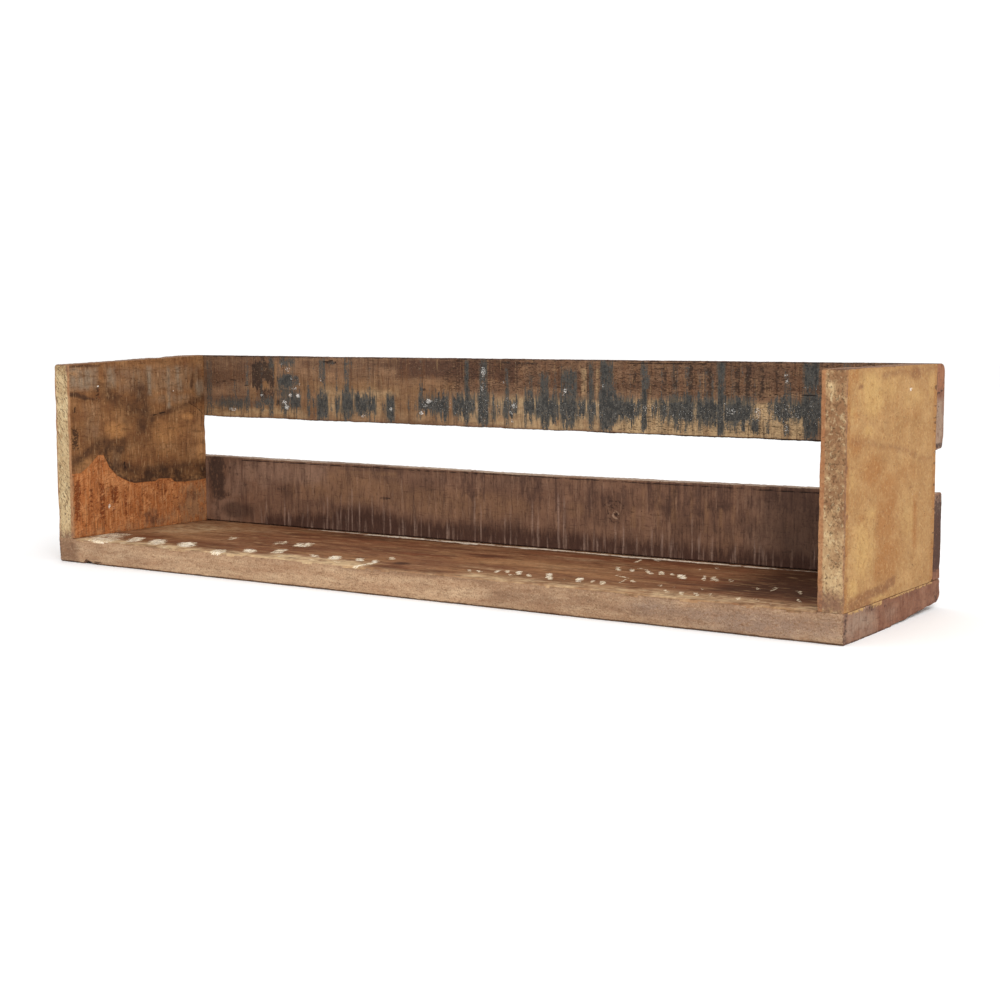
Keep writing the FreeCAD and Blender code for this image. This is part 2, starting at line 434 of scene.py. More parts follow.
# Holes in the boards, and the screws in them


def select_faces(block, wanted):
    """Selects each face whose centre, in millimetres, passes a test."""
    bpy.context.tool_settings.mesh_select_mode = (False, False, True)
    bpy.ops.mesh.select_all(action="DESELECT")
    form = bmesh.from_edit_mesh(block.data)
    for face in form.faces:
        face.select_set(wanted(face.calc_center_median() / MM))
    bmesh.update_edit_mesh(block.data)


def join(pieces):
    bpy.ops.object.select_all(action="DESELECT")
    for piece in pieces:
        piece.select_set(True)
    bpy.context.view_layer.objects.active = pieces[0]
    bpy.ops.object.join()
    return pieces[0]


def cut_out(piece, cutters):
    """Cuts these shapes out of the piece, all in one go."""
    cutter = join(cutters)
    cutting = piece.modifiers.new("cut", "BOOLEAN")
    cutting.operation = "DIFFERENCE"
    cutting.solver = "EXACT"
    cutting.object = cutter
    bpy.context.view_layer.objects.active = piece
    bpy.ops.object.modifier_apply(modifier=cutting.name)
    bpy.data.objects.remove(cutter)


def box_cutter(low, high):
    cutter = start_block("box_cutter", Vector(low), Vector(high))
    bpy.ops.object.mode_set(mode="OBJECT")
    return cutter


def countersink_cutter(place, head_radius, shank_radius):
    """The cone that a screw's head, its face at this place, sits in."""
    over = 1.3
    deep = head_radius - shank_radius
    return add_form(
        bpy.ops.mesh.primitive_cone_add, vertices=32, radius1=(head_radius + over + SCREW_PLAY) * MM,
        radius2=(shank_radius + SCREW_PLAY) * MM, depth=(deep + over) * MM,
        location=(place + Vector((0, 0, (deep - over) / 2))) * MM)


def obround_cutter(x, ends_z, radius, low_y, high_y):
    """A cutter as a round-ended slot that stands upright in the wall side of a slat."""
    low_z, high_z = ends_z
    cutter = add_form(
        bpy.ops.mesh.primitive_cylinder_add, vertices=50, radius=radius * MM, depth=(high_y - low_y) * MM,
        location=Vector((x, (low_y + high_y) / 2, low_z)) * MM, rotation=(math.radians(90), 0, 0))
    bpy.ops.object.mode_set(mode="EDIT")
    select_edges(cutter, lambda a, b: min(a.z, b.z) > low_z)
    bpy.ops.transform.translate(value=(0, 0, (high_z - low_z) * MM))
    bpy.ops.object.mode_set(mode="OBJECT")
    return cutter


def in_line(node, axis, half_head, count=2):
    """The middles of the heads of a node's screws or nails, which stand evenly in line along an axis.

    Those one above the other are driven in from the wall, and all others from below.
    """
    low, high = map(millimetres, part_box(node))
    places = []
    for step in range(count):
        place = (low + high) / 2
        place[axis] = low[axis] + half_head + (high[axis] - low[axis] - 2 * half_head) * step / (count - 1)
        if axis == Z:
            place.y = high.y
        else:
            place.z = low.z
        places.append(place)
    return places


def base_screw_places(node):
    """The screws at the right end went in as deep as the worn underside lets them."""
    places = in_line(node, Y, BASE_SCREW_HEAD)
    for place in places:
        place.z += float(rear_lift(place.x, place.y))
    return places


def drill_base(base):
    """Sinks the base's screws and the foot's nails into its underside."""
    cutters = [
        countersink_cutter(place, BASE_SCREW_HEAD, BASE_SCREW_SHANK)
        for node in BASE_SCREW_NODES for place in base_screw_places(node)
    ]
    grown = NAIL_HEAD + NAIL_PLAY
    for place in in_line("lower_slat_foot_nails", X, NAIL_HEAD.x, 3):
        cutters.append(box_cutter(place - grown - Vector((0, 0, CUT_PAST)), place + grown))
    cut_out(base, cutters)


def recess_nails(slat, nodes):
    """Sinks the nails at a slat's ends into its wall side."""
    head = Vector((NAIL_HEAD.x, NAIL_HEAD.z, NAIL_HEAD.y))
    grown = head + NAIL_PLAY
    cutters = [
        box_cutter(place - grown, place + grown + Vector((0, CUT_PAST, 0)))
        for node in nodes for place in in_line(node, Z, head.z)
    ]
    cut_out(slat, cutters)


def rout_hangers(slat):
    """Lets each hanger's plate in flush, and clears a pocket behind its keyhole."""
    for ends_z, radius, floor_y, mouth_y in (
        (HANGER_BED_ENDS_Z, HANGER_BED_RADIUS, HANGER_BED_FLOOR_Y, 1),
        (POCKET_ENDS_Z, POCKET_RADIUS, POCKET_FLOOR_Y, HANGER_BED_FLOOR_Y + 0.1),
    ):
        cutters = [obround_cutter(x, ends_z, radius, floor_y, mouth_y) for x in (-HANGER_X, HANGER_X)]
        cut_out(slat, cutters)


def make_screw(head_radius, shank_radius, length):
    """A cross-headed wood screw, in millimetres: its head's face at the origin, its point up Z."""
    cone = head_radius - shank_radius
    screw = add_form(
        bpy.ops.mesh.primitive_cone_add, vertices=24, radius1=head_radius * MM, radius2=shank_radius * MM,
        depth=cone * MM, location=(0, 0, cone / 2 * MM))
    bpy.ops.object.mode_set(mode="EDIT")
    select_faces(screw, lambda centre: centre.z > cone - 0.01)
    tip = SCREW_TIP * shank_radius
    for rise, left in ((length - cone - tip, 1), (tip, 0.1)):
        bpy.ops.mesh.extrude_region_move(TRANSFORM_OT_translate={"value": (0, 0, rise * MM)})
        bpy.ops.transform.resize(value=(left, left, 1), center_override=(0, 0, 0))
    bpy.ops.object.mode_set(mode="OBJECT")
    long, slim, deep = (share * head_radius for share in (CROSS_LENGTH, CROSS_WIDTH, CROSS_DEPTH))
    for half_x, half_y in ((long, slim), (slim, long)):
        arm = start_block("driver_arm", Vector((-half_x, -half_y, -1)), Vector((half_x, half_y, deep)))
        select_faces(arm, lambda centre: centre.z > deep - 0.01)
        bpy.ops.transform.resize(value=(0.5, 0.5, 1), center_override=(0, 0, 0))
        bpy.ops.object.mode_set(mode="OBJECT")
        cut_out(screw, [arm])
    return screw


def drive_screws(screw, node, places, aim, finish):
    """Copies of the screw, each turned as it came to rest, joined to the piece that stands for their node."""
    copies = []
    for place in places:
        copy = bpy.data.objects.new(node + "_crossed", screw.data.copy())
        came_to_rest = Matrix.Rotation(0.7 * len(copies) + 0.01 * place.x, 4, "Z")
        copy.data.transform(Matrix.Translation(place * MM) @ aim @ came_to_rest)
        bpy.context.scene.collection.objects.link(copy)
        copies.append(copy)
    piece = join(copies)
    piece.data.materials.append(finish)
    finish_piece(piece, node)


# Shapes that are laid on a face, each a function of two places on the face, in millimetres


def bar(u0, u1, v0, v1, strength=1.0, soft=1.6, soft_ends=None):
    """Covers a rectangle, whose lower and upper ends can be softer than its sides."""
    def shape(u, v):
        across = 0.5 + np.minimum(u - u0, u1 - u) / (2 * soft)
        up = 0.5 + np.minimum(v - v0, v1 - v) / (2 * (soft_ends or soft))
        return strength * np.clip(np.minimum(across, up), 0, 1)
    return shape


def blot(u, v, width, height, strength=1.0, soft=0.6):
    """Covers an ellipse about a place. The width and the height are half its own."""
    def shape(across, up):
        off = np.hypot((across - u) / width, (up - v) / height)
        return strength * np.clip(0.5 + (1 - off) / soft, 0, 1)
    return shape


def stroke(points, width, strength=1.0, soft=1.0):
    """Covers a line through these points, as broad as asked."""
    def shape(u, v):
        nearest = np.full(len(u), 1e9)
        for (u0, v0), (u1, v1) in zip(points, points[1:]):
            run = np.array([u1 - u0, v1 - v0], float)
            share = np.clip(((u - u0) * run[0] + (v - v0) * run[1]) / run.dot(run), 0, 1)
            nearest = np.minimum(nearest, np.hypot(u - u0 - share * run[0], v - v0 - share * run[1]))
        return strength * np.clip(0.5 + (1 - nearest / (width / 2)) / soft, 0, 1)
    return shape


def below(points, strength=1.0, soft=1.5):
    """Covers all that is under a line through these points."""
    def shape(u, v):
        return strength * np.clip(0.5 + (np.interp(u, *zip(*points)) - v) / (2 * soft), 0, 1)
    return shape


def smoke(points, height, strengths):
    """A stain that is darkest along a line and thins out above it, in its own strength at each place."""
    def shape(u, v):
        off = v - np.interp(u, *zip(*points))
        inside = np.minimum(u - points[0][0], points[-1][0] - u)
        left = np.interp(u, *zip(*strengths)) * np.clip(1 - off / height, 0, 1)
        return np.where(off > -4, left, 0) * np.clip(0.5 + inside / 4, 0, 1)
    return shape


def scraped(u0, u1, v0, v1, strength=1.0):
    """Paint left between a saw's upright marks: each holds it up to its own height, and some hold little."""
    chance = np.random.default_rng(round(abs(31 * u0 + 7 * v0)))
    count = round((u1 - u0) / SAW_PITCH) + 3
    foot = v0 + 2 - chance.gamma(1.2, 3.2, count)
    top = v1 - 2 + chance.gamma(1.2, 3.2, count)
    left = strength * chance.uniform(0.7, 1.1, count)

    def shape(u, v):
        mark = np.clip(np.rint((u - u0) / SAW_PITCH).astype(int) + 1, 0, count - 1)
        across = np.clip(0.5 + np.minimum(u - u0, u1 - u) / 1.6, 0, 1)
        up = np.clip(0.5 + np.minimum(v - foot[mark], top[mark] - v) / 3, 0, 1)
        return left[mark] * across * up
    return shape


def mark_face(piece, axis, level, marks):
    """Writes how strongly the shapes cover each corner of one face to the piece's layer of their name."""
    places = corner_places(piece)
    u, v = (places[:, other] for other in range(3) if other != axis)
    on_face = np.abs(places[:, axis] - level) < FACE_REACH
    layers = piece.data.attributes
    for layer, shapes in marks.items():
        cover = layers.get(layer) or layers.new(layer, "FLOAT", "POINT")
        values = np.empty(len(places), np.float32)
        cover.data.foreach_get("value", values)
        for shape in shapes:
            values = np.where(on_face, np.maximum(values, shape(u, v)), values)
        cover.data.foreach_set("value", values.astype(np.float32))


# Finishes


def linear(hex_colour, light):
    """An sRGB hex colour as the eye sees it under this much light, as a linear colour of the surface."""
    parts = [int(hex_colour[at:at + 2], 16) / 255 for at in (1, 3, 5)]
    seen = [part / 12.92 if part <= 0.04045 else ((part + 0.055) / 1.055) ** 2.4 for part in parts]
    return [part / light for part in seen] + [1]


def add(tree, kind, inputs=(), stops=(), **settings):
    """Adds a node with its settings, a ramp's stops, and its input values or links."""
    node = tree.nodes.new("ShaderNode" + kind)
    for name, value in settings.items():
        setattr(node, name, value)
    for place, (position, colour) in enumerate(stops):
        elements = node.color_ramp.elements
        element = elements[place] if place < 2 else elements.new(position)
        element.position = position
        element.color = colour
    for name, value in dict(inputs).items():
        if isinstance(value, bpy.types.NodeSocket):
            tree.links.new(value, node.inputs[name])
        else:
            node.inputs[name].default_value = value
    return node


class Finish:
    """A surface built up as the real one was: a ground of streaks, then layers laid on it one by one.

    light says how brightly the face is lit in the photograph, against an evenly lit white card, so that
    the hex colours are those that the eye sees on it. All sizes are in millimetres.
    """

    def __init__(self, name, sizes, ground, seed, light=1.0, stops=(0.3, 0.5, 0.7)):
        self.material = bpy.data.materials.new(name)
        self.material.use_nodes = True
        self.tree = self.material.node_tree
        self.shader = self.tree.nodes["Principled BSDF"]
        self.place = add(self.tree, "TexCoord").outputs["Object"]
        self.light = light
        self.seed = seed
        self.height = None
        self.gloss = None
        ramp = [(stop, linear(colour, light)) for stop, colour in zip(stops, ground)]
        streaks = self.marks(sizes, detail=4.0)
        self.colour = add(self.tree, "ValToRGB", {"Fac": streaks}, ramp).outputs["Color"]

    def marks(self, sizes, bend=0.0, turn=None, detail=3.0):
        """Noise whose marks are about this long along X, Y and Z, before a turn in degrees."""
        self.seed += 1
        shift = (self.seed * 3.7, self.seed * 5.3, self.seed * 7.9)
        scale = [1 / (size * MM) for size in sizes]
        place = self.place
        if turn:
            turned_place = {"Vector": place, "Rotation": [math.radians(angle) for angle in turn]}
            place = add(self.tree, "Mapping", turned_place).outputs[0]
        place = add(self.tree, "Mapping", {"Vector": place, "Location": shift, "Scale": scale})
        noise = {"Vector": place.outputs[0], "Scale": 1.0, "Detail": detail, "Roughness": 0.6}
        noise["Distortion"] = bend
        return add(self.tree, "TexNoise", noise).outputs[0]

    def lay(self, colour, sizes, low, high, share, layer=None, shake=0.0, depth=0.0, rough=None, fray=None,
            bend=0.0, turn=None):
        """Lays a share of a colour where marks of these sizes pass low to high, or where a layer does.

        The marks shake a layer's outline, and fray adds marks of another size to them. depth is how far the
        colour stands proud.
        """
        where = self.marks(sizes, bend, turn)
        if fray:
            both = {0: where, 1: self.marks(fray, bend)}
            both = add(self.tree, "Math", both, operation="ADD").outputs[0]
            where = add(self.tree, "Math", {0: both, 1: 0.5}, operation="SUBTRACT").outputs[0]
        if layer:
            shaken = {0: where, 1: shake, 2: 1 - shake / 2}
            noise = add(self.tree, "Math", shaken, operation="MULTIPLY_ADD").outputs[0]
            cover = add(self.tree, "Attribute", attribute_name=layer).outputs["Fac"]
            where = add(self.tree, "Math", {0: cover, 1: noise}, operation="MULTIPLY").outputs[0]
        ends = {"Value": where, "From Min": low, "From Max": high, "To Max": share}
        cover = add(self.tree, "MapRange", ends, interpolation_type="SMOOTHSTEP").outputs[0]
        mixed = {0: cover, 6: self.colour, 7: linear(colour, self.light)}
        self.colour = add(self.tree, "Mix", mixed, data_type="RGBA").outputs[2]
        if depth:
            step = {0: cover, 1: depth / share, 2: self.height or 0.0}
            self.height = add(self.tree, "Math", step, operation="MULTIPLY_ADD").outputs[0]
        if rough is not None:
            mixed = {0: cover, 2: self.gloss or 0.75, 3: rough}
            self.gloss = add(self.tree, "Mix", mixed, data_type="FLOAT").outputs[0]

    def vary(self, sizes, swing):
        """Lets the tone of all layers so far rise and fall by this share, in marks of these sizes."""
        swung = {0: self.marks(sizes, detail=4.0), 1: 4 * swing, 2: 1 - 2 * swing}
        tone = add(self.tree, "Math", swung, operation="MULTIPLY_ADD").outputs[0]
        toned = {0: self.colour, "Scale": tone}
        self.colour = add(self.tree, "VectorMath", toned, operation="SCALE").outputs[0]

    def done(self, roughness=0.8, shine=0.2, metal=0.0):
        """Joins the layers to the shader and returns the material."""
        self.tree.links.new(self.colour, self.shader.inputs["Base Color"])
        self.shader.inputs["Metallic"].default_value = metal
        self.shader.inputs["Roughness"].default_value = roughness
        self.shader.inputs["Specular IOR Level"].default_value = shine
        if self.gloss:
            self.tree.links.new(self.gloss, self.shader.inputs["Roughness"])
        if self.height:
            bump = add(self.tree, "Bump", {"Height": self.height, "Strength": 1.0, "Distance": MM})
            self.tree.links.new(bump.outputs[0], self.shader.inputs["Normal"])
        return self.material


def turned(axis, along, across):
    """The sizes of a mark that lies along one axis."""
    return [along if at == axis else across for at in (X, Y, Z)]


# The upper slat

# Each bar of paint left on the upper slat's front: its ends along X, its ends up Z, how much of it is left
PAINT_BARS = (
    # The first bar, at the very left end, is painted shade in the corner beside the left side, not paint
    (-377, -368, -24, 33, 0.42), (-373, -365, -17, -10, 0.50), (-358, -350, -14, -8, 0.52),
    (-344, -328, -16, -8, 0.64), (-345, -330, -2, 12, 0.42), (-323, -318, 6, 33, 0.56),
    (-323, -317, -15, -8, 0.64), (-313, -300, -17, -7, 0.52), (-303, -299, -26, 35, 0.52),
    (-291, -284, 24, 35, 0.75), (-292, -286, -26, -8, 0.70), (-300, -285, -14, -6, 0.62),
    (-278, -257, 27, 35, 0.74), (-276, -263, -17, -4, 0.62), (-263, -250, -14, -4, 0.86),
    (-273, -268, -26, -14, 0.64), (-242, -237, -26, 6, 0.60), (-242, -238, 6, 35, 0.46),
    (-234, -231, -25, 35, 0.46), (-226, -218, 16, 34, 0.78), (-226, -217, -3, 16, 0.52),
    (-228, -215, -24, -3, 0.88), (-235, -229, -14, -6, 0.60), (-213, -209, -14, -4, 0.52),
    (-206, -202, -25, 30, 0.52), (-206, -200, -16, -5, 0.75), (-215, -205, 29, 34, 0.60),
    (-195, -188, 0, 34, 0.72), (-197, -184, -15, -2, 0.95), (-195, -187, -25, -15, 0.70),
    (-190, -183, 30, 34, 0.60), (-181, -168, -16, -4, 0.88), (-178, -170, -25, -15, 0.44),
    (-166, -161, -5, 30, 0.50), (-168, -156, -14, -3, 0.82), (-165, -161, -25, -13, 0.62),
    (-148, -143, -14, -5, 0.52), (-142, -133, -23, -3, 0.85), (-127, -124, -15, -6, 0.42),
    (-118, -114, -14, -3, 0.50), (-110, -105, -14, -4, 0.50), (-104, -100, -25, 35, 0.46),
    (-104, -87, -13, -2, 0.85), (-88, -72, -13, -4, 0.85), (-93, -88, 2, 18, 0.42),
    (-86, -81, -26, -13, 0.46), (-75, -70, -15, 1, 0.80), (-64, -39, -13, -1, 0.90),
    (-64, -54, -24, -12, 0.46), (-51, -46, -26, 34, 0.76), (-34, -26, -26, 34, 0.86),
    (-36, -24, -22, 0, 0.90), (-20, -17, -19, 2, 0.80), (-15, -10, -14, -3, 0.60), (-6, -1, -26, 30, 0.68),
    (-8, 8, -13, -2, 0.80), (2, 5, 0, 14, 0.44), (15, 18, -26, 12, 0.70), (15, 26, -11, -1, 0.92),
    (20, 25, -24, 22, 0.62), (28, 46, -14, 0, 0.95), (33, 42, -24, 24, 0.78), (29, 34, 4, 22, 0.50),
    (45, 51, -24, 26, 0.52), (45, 52, -11, -2, 0.85), (53, 71, -13, 1, 0.96), (55, 69, -26, -12, 0.70),
    (54, 71, 6, 26, 0.78), (56, 68, 0, 8, 0.60), (72, 80, -11, -1, 0.82), (83, 88, -26, 34, 0.78),
    (82, 91, -12, -1, 0.85), (95, 108, -26, 34, 0.86), (94, 113, -14, 3, 0.96), (108, 112, 0, 24, 0.50),
    (113, 130, -13, 1, 0.95), (117, 120, 0, 24, 0.44), (124, 127, -14, 34, 0.50), (130, 136, -10, -1, 0.75),
    (136, 142, -26, 34, 0.76), (138, 145, 14, 23, 0.70), (146, 153, -10, -1, 0.72), (146, 148, 2, 20, 0.44),
    (155, 162, -11, 1, 0.85), (155, 158, -22, 34, 0.50), (163, 187, -13, 2, 0.95), (166, 173, 2, 35, 0.56),
    (178, 184, 18, 34, 0.62), (168, 177, -24, -12, 0.60), (178, 182, -26, -12, 0.66),
    (190, 210, -13, 1, 0.96), (191, 195, -24, 26, 0.62), (197, 201, -22, 34, 0.56),
    (203, 207, -20, 26, 0.56), (210, 216, -26, 36, 0.92), (216, 240, -13, 2, 0.95),
    (216, 236, -24, -12, 0.53), (222, 226, 2, 34, 0.52), (231, 236, 2, 34, 0.48), (240, 248, -9, 18, 0.48),
    (241, 248, -22, -14, 0.75), (254, 258, -26, -13, 0.62), (255, 261, -8, 4, 0.52),
    (262, 289, -9, 3, 0.86), (270, 276, -26, 28, 0.58), (280, 284, -4, 12, 0.46), (288, 301, 17, 36, 0.97),
    (288, 303, -11, 11, 0.86), (288, 300, -26, -10, 0.82), (306, 318, -13, 1, 0.90),
    (322, 328, -26, 34, 0.78), (334, 352, -12, 2, 0.90), (360, 366, -26, 34, 0.62),
    (366, 378, -12, 0, 0.80),
)


def held(shape):
    """Paint has held best in a band along the slat, where the saw tore deepest, and worn thinner off it."""
    return lambda u, v: shape(u, v) * (1 - 0.2 * np.clip(np.maximum(-18 - v, v - 6) / 6, 0, 1))


# Soft dark bars above the paint, where it sank into the saw's marks: middle along X, foot, strength
SOFT_BARS = (
    (130, 10, 0.64), (159, 8, 0.66), (169, 10, 0.7), (184, 6, 0.8), (202, 4, 0.8), (212, 8, 0.7),
    (228, 5, 0.78), (238, 0, 0.84), (250, 2, 0.74), (264, 12, 0.6),
)


# What is laid on the upper slat's front, layer by layer, and on its right end
UPPER_SLAT_MARKS = {
    "paint": [held(scraped(*ends)) for ends in PAINT_BARS] + [
        blot(-268, 12, 12, 7, 0.8, 0.9), blot(-256, 13, 5, 6, 0.65, 0.9), blot(-266, 14, 7, 5, 0.95),
    ],
    "paint_wash": [
        held(bar(u0 - 2, u1 + 2, v0 - 6, v1 + 7, strength, 3, 8)) for u0, u1, v0, v1, strength in PAINT_BARS
    ] + [
        # The last bar, at the left end, is painted shade in the corner beside the left side
        blot(-268, 4, 18, 24, 0.8, 1.2), blot(-340, -12, 30, 8, 0.9, 1.4), bar(-379, -366, -26, 34, 0.6, 4),
    ],
    "dark_stain": [
        scraped(-314, -284, 13, 30, 1.1), scraped(-313, -300, 5, 14, 1.0), scraped(-290, -284, -8, 14, 0.9),
        scraped(-304, -286, -8, 4, 0.8), scraped(-305, -300, -26, -6, 0.6), blot(-300, 30, 8, 4, 0.6),
        blot(-299, 21, 15, 9, 1.0, 1.0),
        stroke([(-280, 16), (-278, 5), (-272, 3), (-262, 2), (-257, -2), (-253, -5)], 2.4, 0.95),
        blot(-280, -10, 3, 4, 0.8), blot(-99, 7, 5, 1.2, 0.9), blot(18, 33, 12, 1.2, 0.8),
        blot(-5, 33.5, 8, 1.2, 0.7), blot(134, 0.5, 3, 0.9, 0.9), blot(188, -3, 3, 0.9, 0.9),
        blot(86, -4, 2.5, 3, 0.8), blot(55, 4, 3, 4, 0.6), blot(101, 27, 6, 3, 0.8),
        blot(-210, 31, 8, 2, 0.7), blot(245, -19, 4, 3, 0.8),
    ] + [
        bar(middle - 3, middle + 3, foot, 35, strength, 2, 5) for middle, foot, strength in SOFT_BARS
    ],
    "red_brown": [
        bar(-380, -300, 2, 36, 0.5, 6), bar(-130, 10, 18, 36, 1.0, 6), bar(10, 300, 8, 36, 0.5, 7),
        blot(-40, 26, 12, 4, 0.3), bar(-20, 8, 14, 34, 0.9, 4), bar(-378, -340, 2, 30, 0.45, 4),
        bar(-250, -130, 24, 36, 0.45, 6), bar(300, 380, 8, 36, 0.7, 7), blot(-50, 24, 40, 12, 0.8, 1.4),
    ],
    "golden": [
        bar(-380, -250, -27, -12, 0.9, 6), bar(-260, -60, -27, 20, 0.6, 12),
        bar(-284, -281, -20, 32, 0.9, 1.5), blot(-296, 7, 4, 5, 1.0), blot(-313, -2, 6, 8, 0.7),
        bar(-370, -320, 8, 34, 0.35, 8), blot(-40, 29, 6, 4, 0.9),
    ],
    "tan": [
        bar(-230, -130, -26, 10, 0.5, 8), bar(-60, 10, -26, 4, 0.6, 5), bar(0, 130, -27, 3, 0.75, 4),
        bar(120, 290, -27, 3, 0.95, 4), bar(230, 310, -27, 7, 0.35, 9), bar(-165, -125, -2, 8, 0.5, 4),
        bar(75, 82, 0, 30, 0.5), bar(90, 94, -24, 30, 0.55), bar(300, 380, -27, 3, 0.35, 6),
        bar(-384, -240, -28, -13, 0.5, 5), bar(-130, -60, -28, -12, 0.4, 5),
    ],
    "checked": [
        bar(-90, 400, 4, 38, 1.0, 20, 4), bar(-400, -100, 18, 38, 0.75, 10, 6),
        bar(100, 400, -28, 6, 0.95, 20, 4),
    ],
    "fleck": [
        blot(-266, 24, 4, 3, 0.8), blot(-261, 15, 3, 2, 0.8), blot(-251, 9, 2, 1.6, 0.8),
        blot(-258, 5, 5, 2.4, 0.8), blot(-253, -2, 3.0, 2.6, 1.2), blot(-263, -2, 3, 2, 1.1),
        blot(-271, -9, 3.4, 2.4, 1.2), blot(-268, -14, 3.4, 2.6, 1.2), blot(-301, -3, 2.6, 1.6, 1.0),
        blot(-274, 29, 1.8, 1.6, 0.9), blot(-224, 14, 1.5, 1.8, 1.1), blot(-137, -12.5, 2.4, 2.4, 1.0),
        blot(-171, -20, 3, 2.2, 0.85), blot(-340, -18, 7, 2.6, 0.8), blot(-92, -4, 3.6, 2.2, 1.2),
        blot(-101, -15.5, 2.8, 2, 1.2), blot(-84, -4, 1.8, 2.2, 0.8), blot(-96, -8, 3.4, 2, 0.8),
        blot(-30, 25, 3, 5, 1.0), blot(-31, 9, 2, 3, 0.9), blot(4, -6, 3.4, 2.6, 1.0),
        blot(1, -12, 3.4, 2, 0.8), blot(2, -20, 2, 2.2, 0.9), blot(-3, 0, 2, 2, 0.8),
        blot(59, 9, 2.2, 3, 1.0), blot(57, 5.5, 2.4, 2, 0.8), blot(140, -5, 2, 3, 0.9),
        blot(273, 21, 2, 2.4, 1.0), blot(272, 26, 2.4, 1.6, 0.9), blot(290, 16, 3.4, 1.4, 0.9),
        blot(299, 15.4, 2, 1.2, 0.8), bar(255, 290, -14, 6, 0.62, 6, 5), blot(247, -6, 3, 6, 0.8),
        blot(222, -5, 6, 4, 0.75), blot(273, -19, 2.4, 6, 0.8), blot(-8, 15, 2, 1.8, 0.8),
        blot(98, 14, 2, 2, 0.8), bar(-6, 22, 32.5, 34.5, 0.7, 0.6), blot(294, 2, 4, 5, 0.6),
        blot(216, 1, 2, 2, 0.8), bar(-104, 310, -20, 4, 0.56, 4, 6), blot(-30, 0, 6, 34, 0.6),
    ],
    "crack": [
        stroke([(-362, 9.5), (-345, 11.5), (-326, 13)], 0.9, 0.7),
        stroke([(-330, 6), (-316, 7.5)], 1.0, 0.7),
        stroke([(262, 9.6), (283, 9.4), (303, 10.4), (370, 11)], 0.8, 0.75),
        stroke([(-60, 34), (-20, 33.2)], 0.9, 0.7), stroke([(120, 34.4), (200, 34.2)], 0.9, 0.6),
        bar(-400, 400, -29, -26.4, 0.75, 0.8), bar(-400, 400, 35, 38, 0.5, 0.6),
        stroke([(-220, 31.5), (-208, 33)], 1.6, 0.8), stroke([(-208, 30), (-203, 33)], 1.2, 0.7),
    ],
}
UPPER_END_MARKS = {
    "rusty_end": [bar(-18, 1, 16, 38, 1.0, 3)],
    "grey_end": [bar(-18, 1, -30, 10, 0.9, 4)],
    "foot_line": [
        stroke([(-18, 13), (-8, 15), (1, 17)], 1.4, 1.0), bar(-18, 1, -30, -25, 0.7, 1.6),
        stroke([(-18, 4), (-10, 3)], 1, 0.6),
    ],
}


def painted_hardwood():
    """Reclaimed teak, cut across by a coarse saw and once painted: dark enamel is left in the saw's marks."""
    ground = ("#654936", "#775943", "#8a694e")
    wood = Finish("sawn_teak_with_paint_remains", (70, 9, 7), ground, 11, stops=(0.34, 0.5, 0.64))
    wood.lay("#85613f", (18, 9, 12), 0.1, 0.95, 0.8, "golden", 1.4)
    wood.lay("#4e3529", (50, 9, 9), 0.1, 0.95, 0.9, "red_brown", 1.2)
    wood.lay("#b1946e", (22, 9, 7), 0.15, 0.9, 0.9, "tan", 1.8)
    wood.lay("#68442b", (7, 9, 22), 0.48, 0.68, 0.42)
    wood.lay("#4a3226", (6, 30, 70), 0.52, 0.74, 0.5)
    wood.lay("#3d2a20", (2.0, 30, 34), 0.54, 0.68, 0.55)
    wood.lay("#a8875f", (1.8, 30, 26), 0.57, 0.7, 0.32)
    wood.lay("#2b1c14", (4.5, 3, 0.9), 1.15, 1.5, 0.78, "checked", 5.0, -0.14, bend=1.4)
    wood.lay("#33231a", (10, 4, 1.1), 0.58, 0.68, 0.4, depth=-0.12, bend=0.4)
    wood.lay("#33261f", (4, 5, 7), 0.35, 0.85, 0.88, "dark_stain", 2.0, fray=(1.8, 2, 1.8))
    wood.lay("#c4a27a", (3.4, 4, 0.9), 0.6, 0.7, 0.28, bend=0.6)
    # The wash and the paint also carry a band of painted shade at the slat's left end
    wood.lay("#5a5349", (1.6, 3, 14), 0.3, 1.0, 0.5, "paint_wash", 2.4, fray=(5, 3, 5))
    wood.lay("#47453f", (1.1, 3, 18), 0.55, 0.85, 0.8, "paint_wash", 4.0)
    wood.lay("#4a4844", (1.2, 3, 5), 0.4, 0.6, 0.95, "paint", 2.8, 0.1, 0.6, fray=(1.2, 2, 1.0))
    wood.lay("#2e2e2d", (2.4, 3, 4), 0.64, 0.95, 0.8, "paint", 3.0, fray=(1.1, 2, 1.3))
    wood.lay("#7d766a", (1.5, 2, 1.2), 0.6, 0.72, 0.35, depth=0.04)
    wood.lay("#1f1612", (1.4, 2, 1.0), 0.6, 0.7, 0.5, depth=-0.1)
    wood.lay("#e4e0d9", (1.1, 1.2, 1.2), 1.05, 1.3, 0.92, "fleck", 4.4, 0.1, 0.6, fray=(0.7, 0.8, 0.7))
    wood.lay("#1a110c", (6, 3, 1), 0.4, 0.6, 0.9, "crack", 1.2, -0.5)
    wood.vary((1.4, 2, 2.2), 0.16)
    wood.vary((14, 9, 14), 0.08)
    return wood.done(0.75, 0.15)


# The lower slat

# Pale streaks up from the lower slat's foot: where each stands, and how high it reaches
FOOT_STREAKS = (
    (-304, -118), (-298, -112), (-273, -104), (-268, -115), (-243, -112), (-222, -108), (-217, -98),
    (-205, -112), (-200, -98), (-191, -105), (-186, -94), (-177, -102), (-161, -98), (-147, -104),
    (-139, -108), (-124, -116), (-110, -115), (-102, -116), (-72, -114), (-65, -117), (-40, -90),
    (-33, -100), (-6, -110), (0, -100), (24, -92), (30, -98), (52, -84), (58, -84), (82, -114), (89, -117),
    (100, -122), (111, -110), (119, -104), (133, -118), (148, -110), (158, -112), (168, -118), (178, -122),
    (187, -90), (194, -110), (206, -114), (228, -118), (246, -112), (262, -120), (300, -112),
)

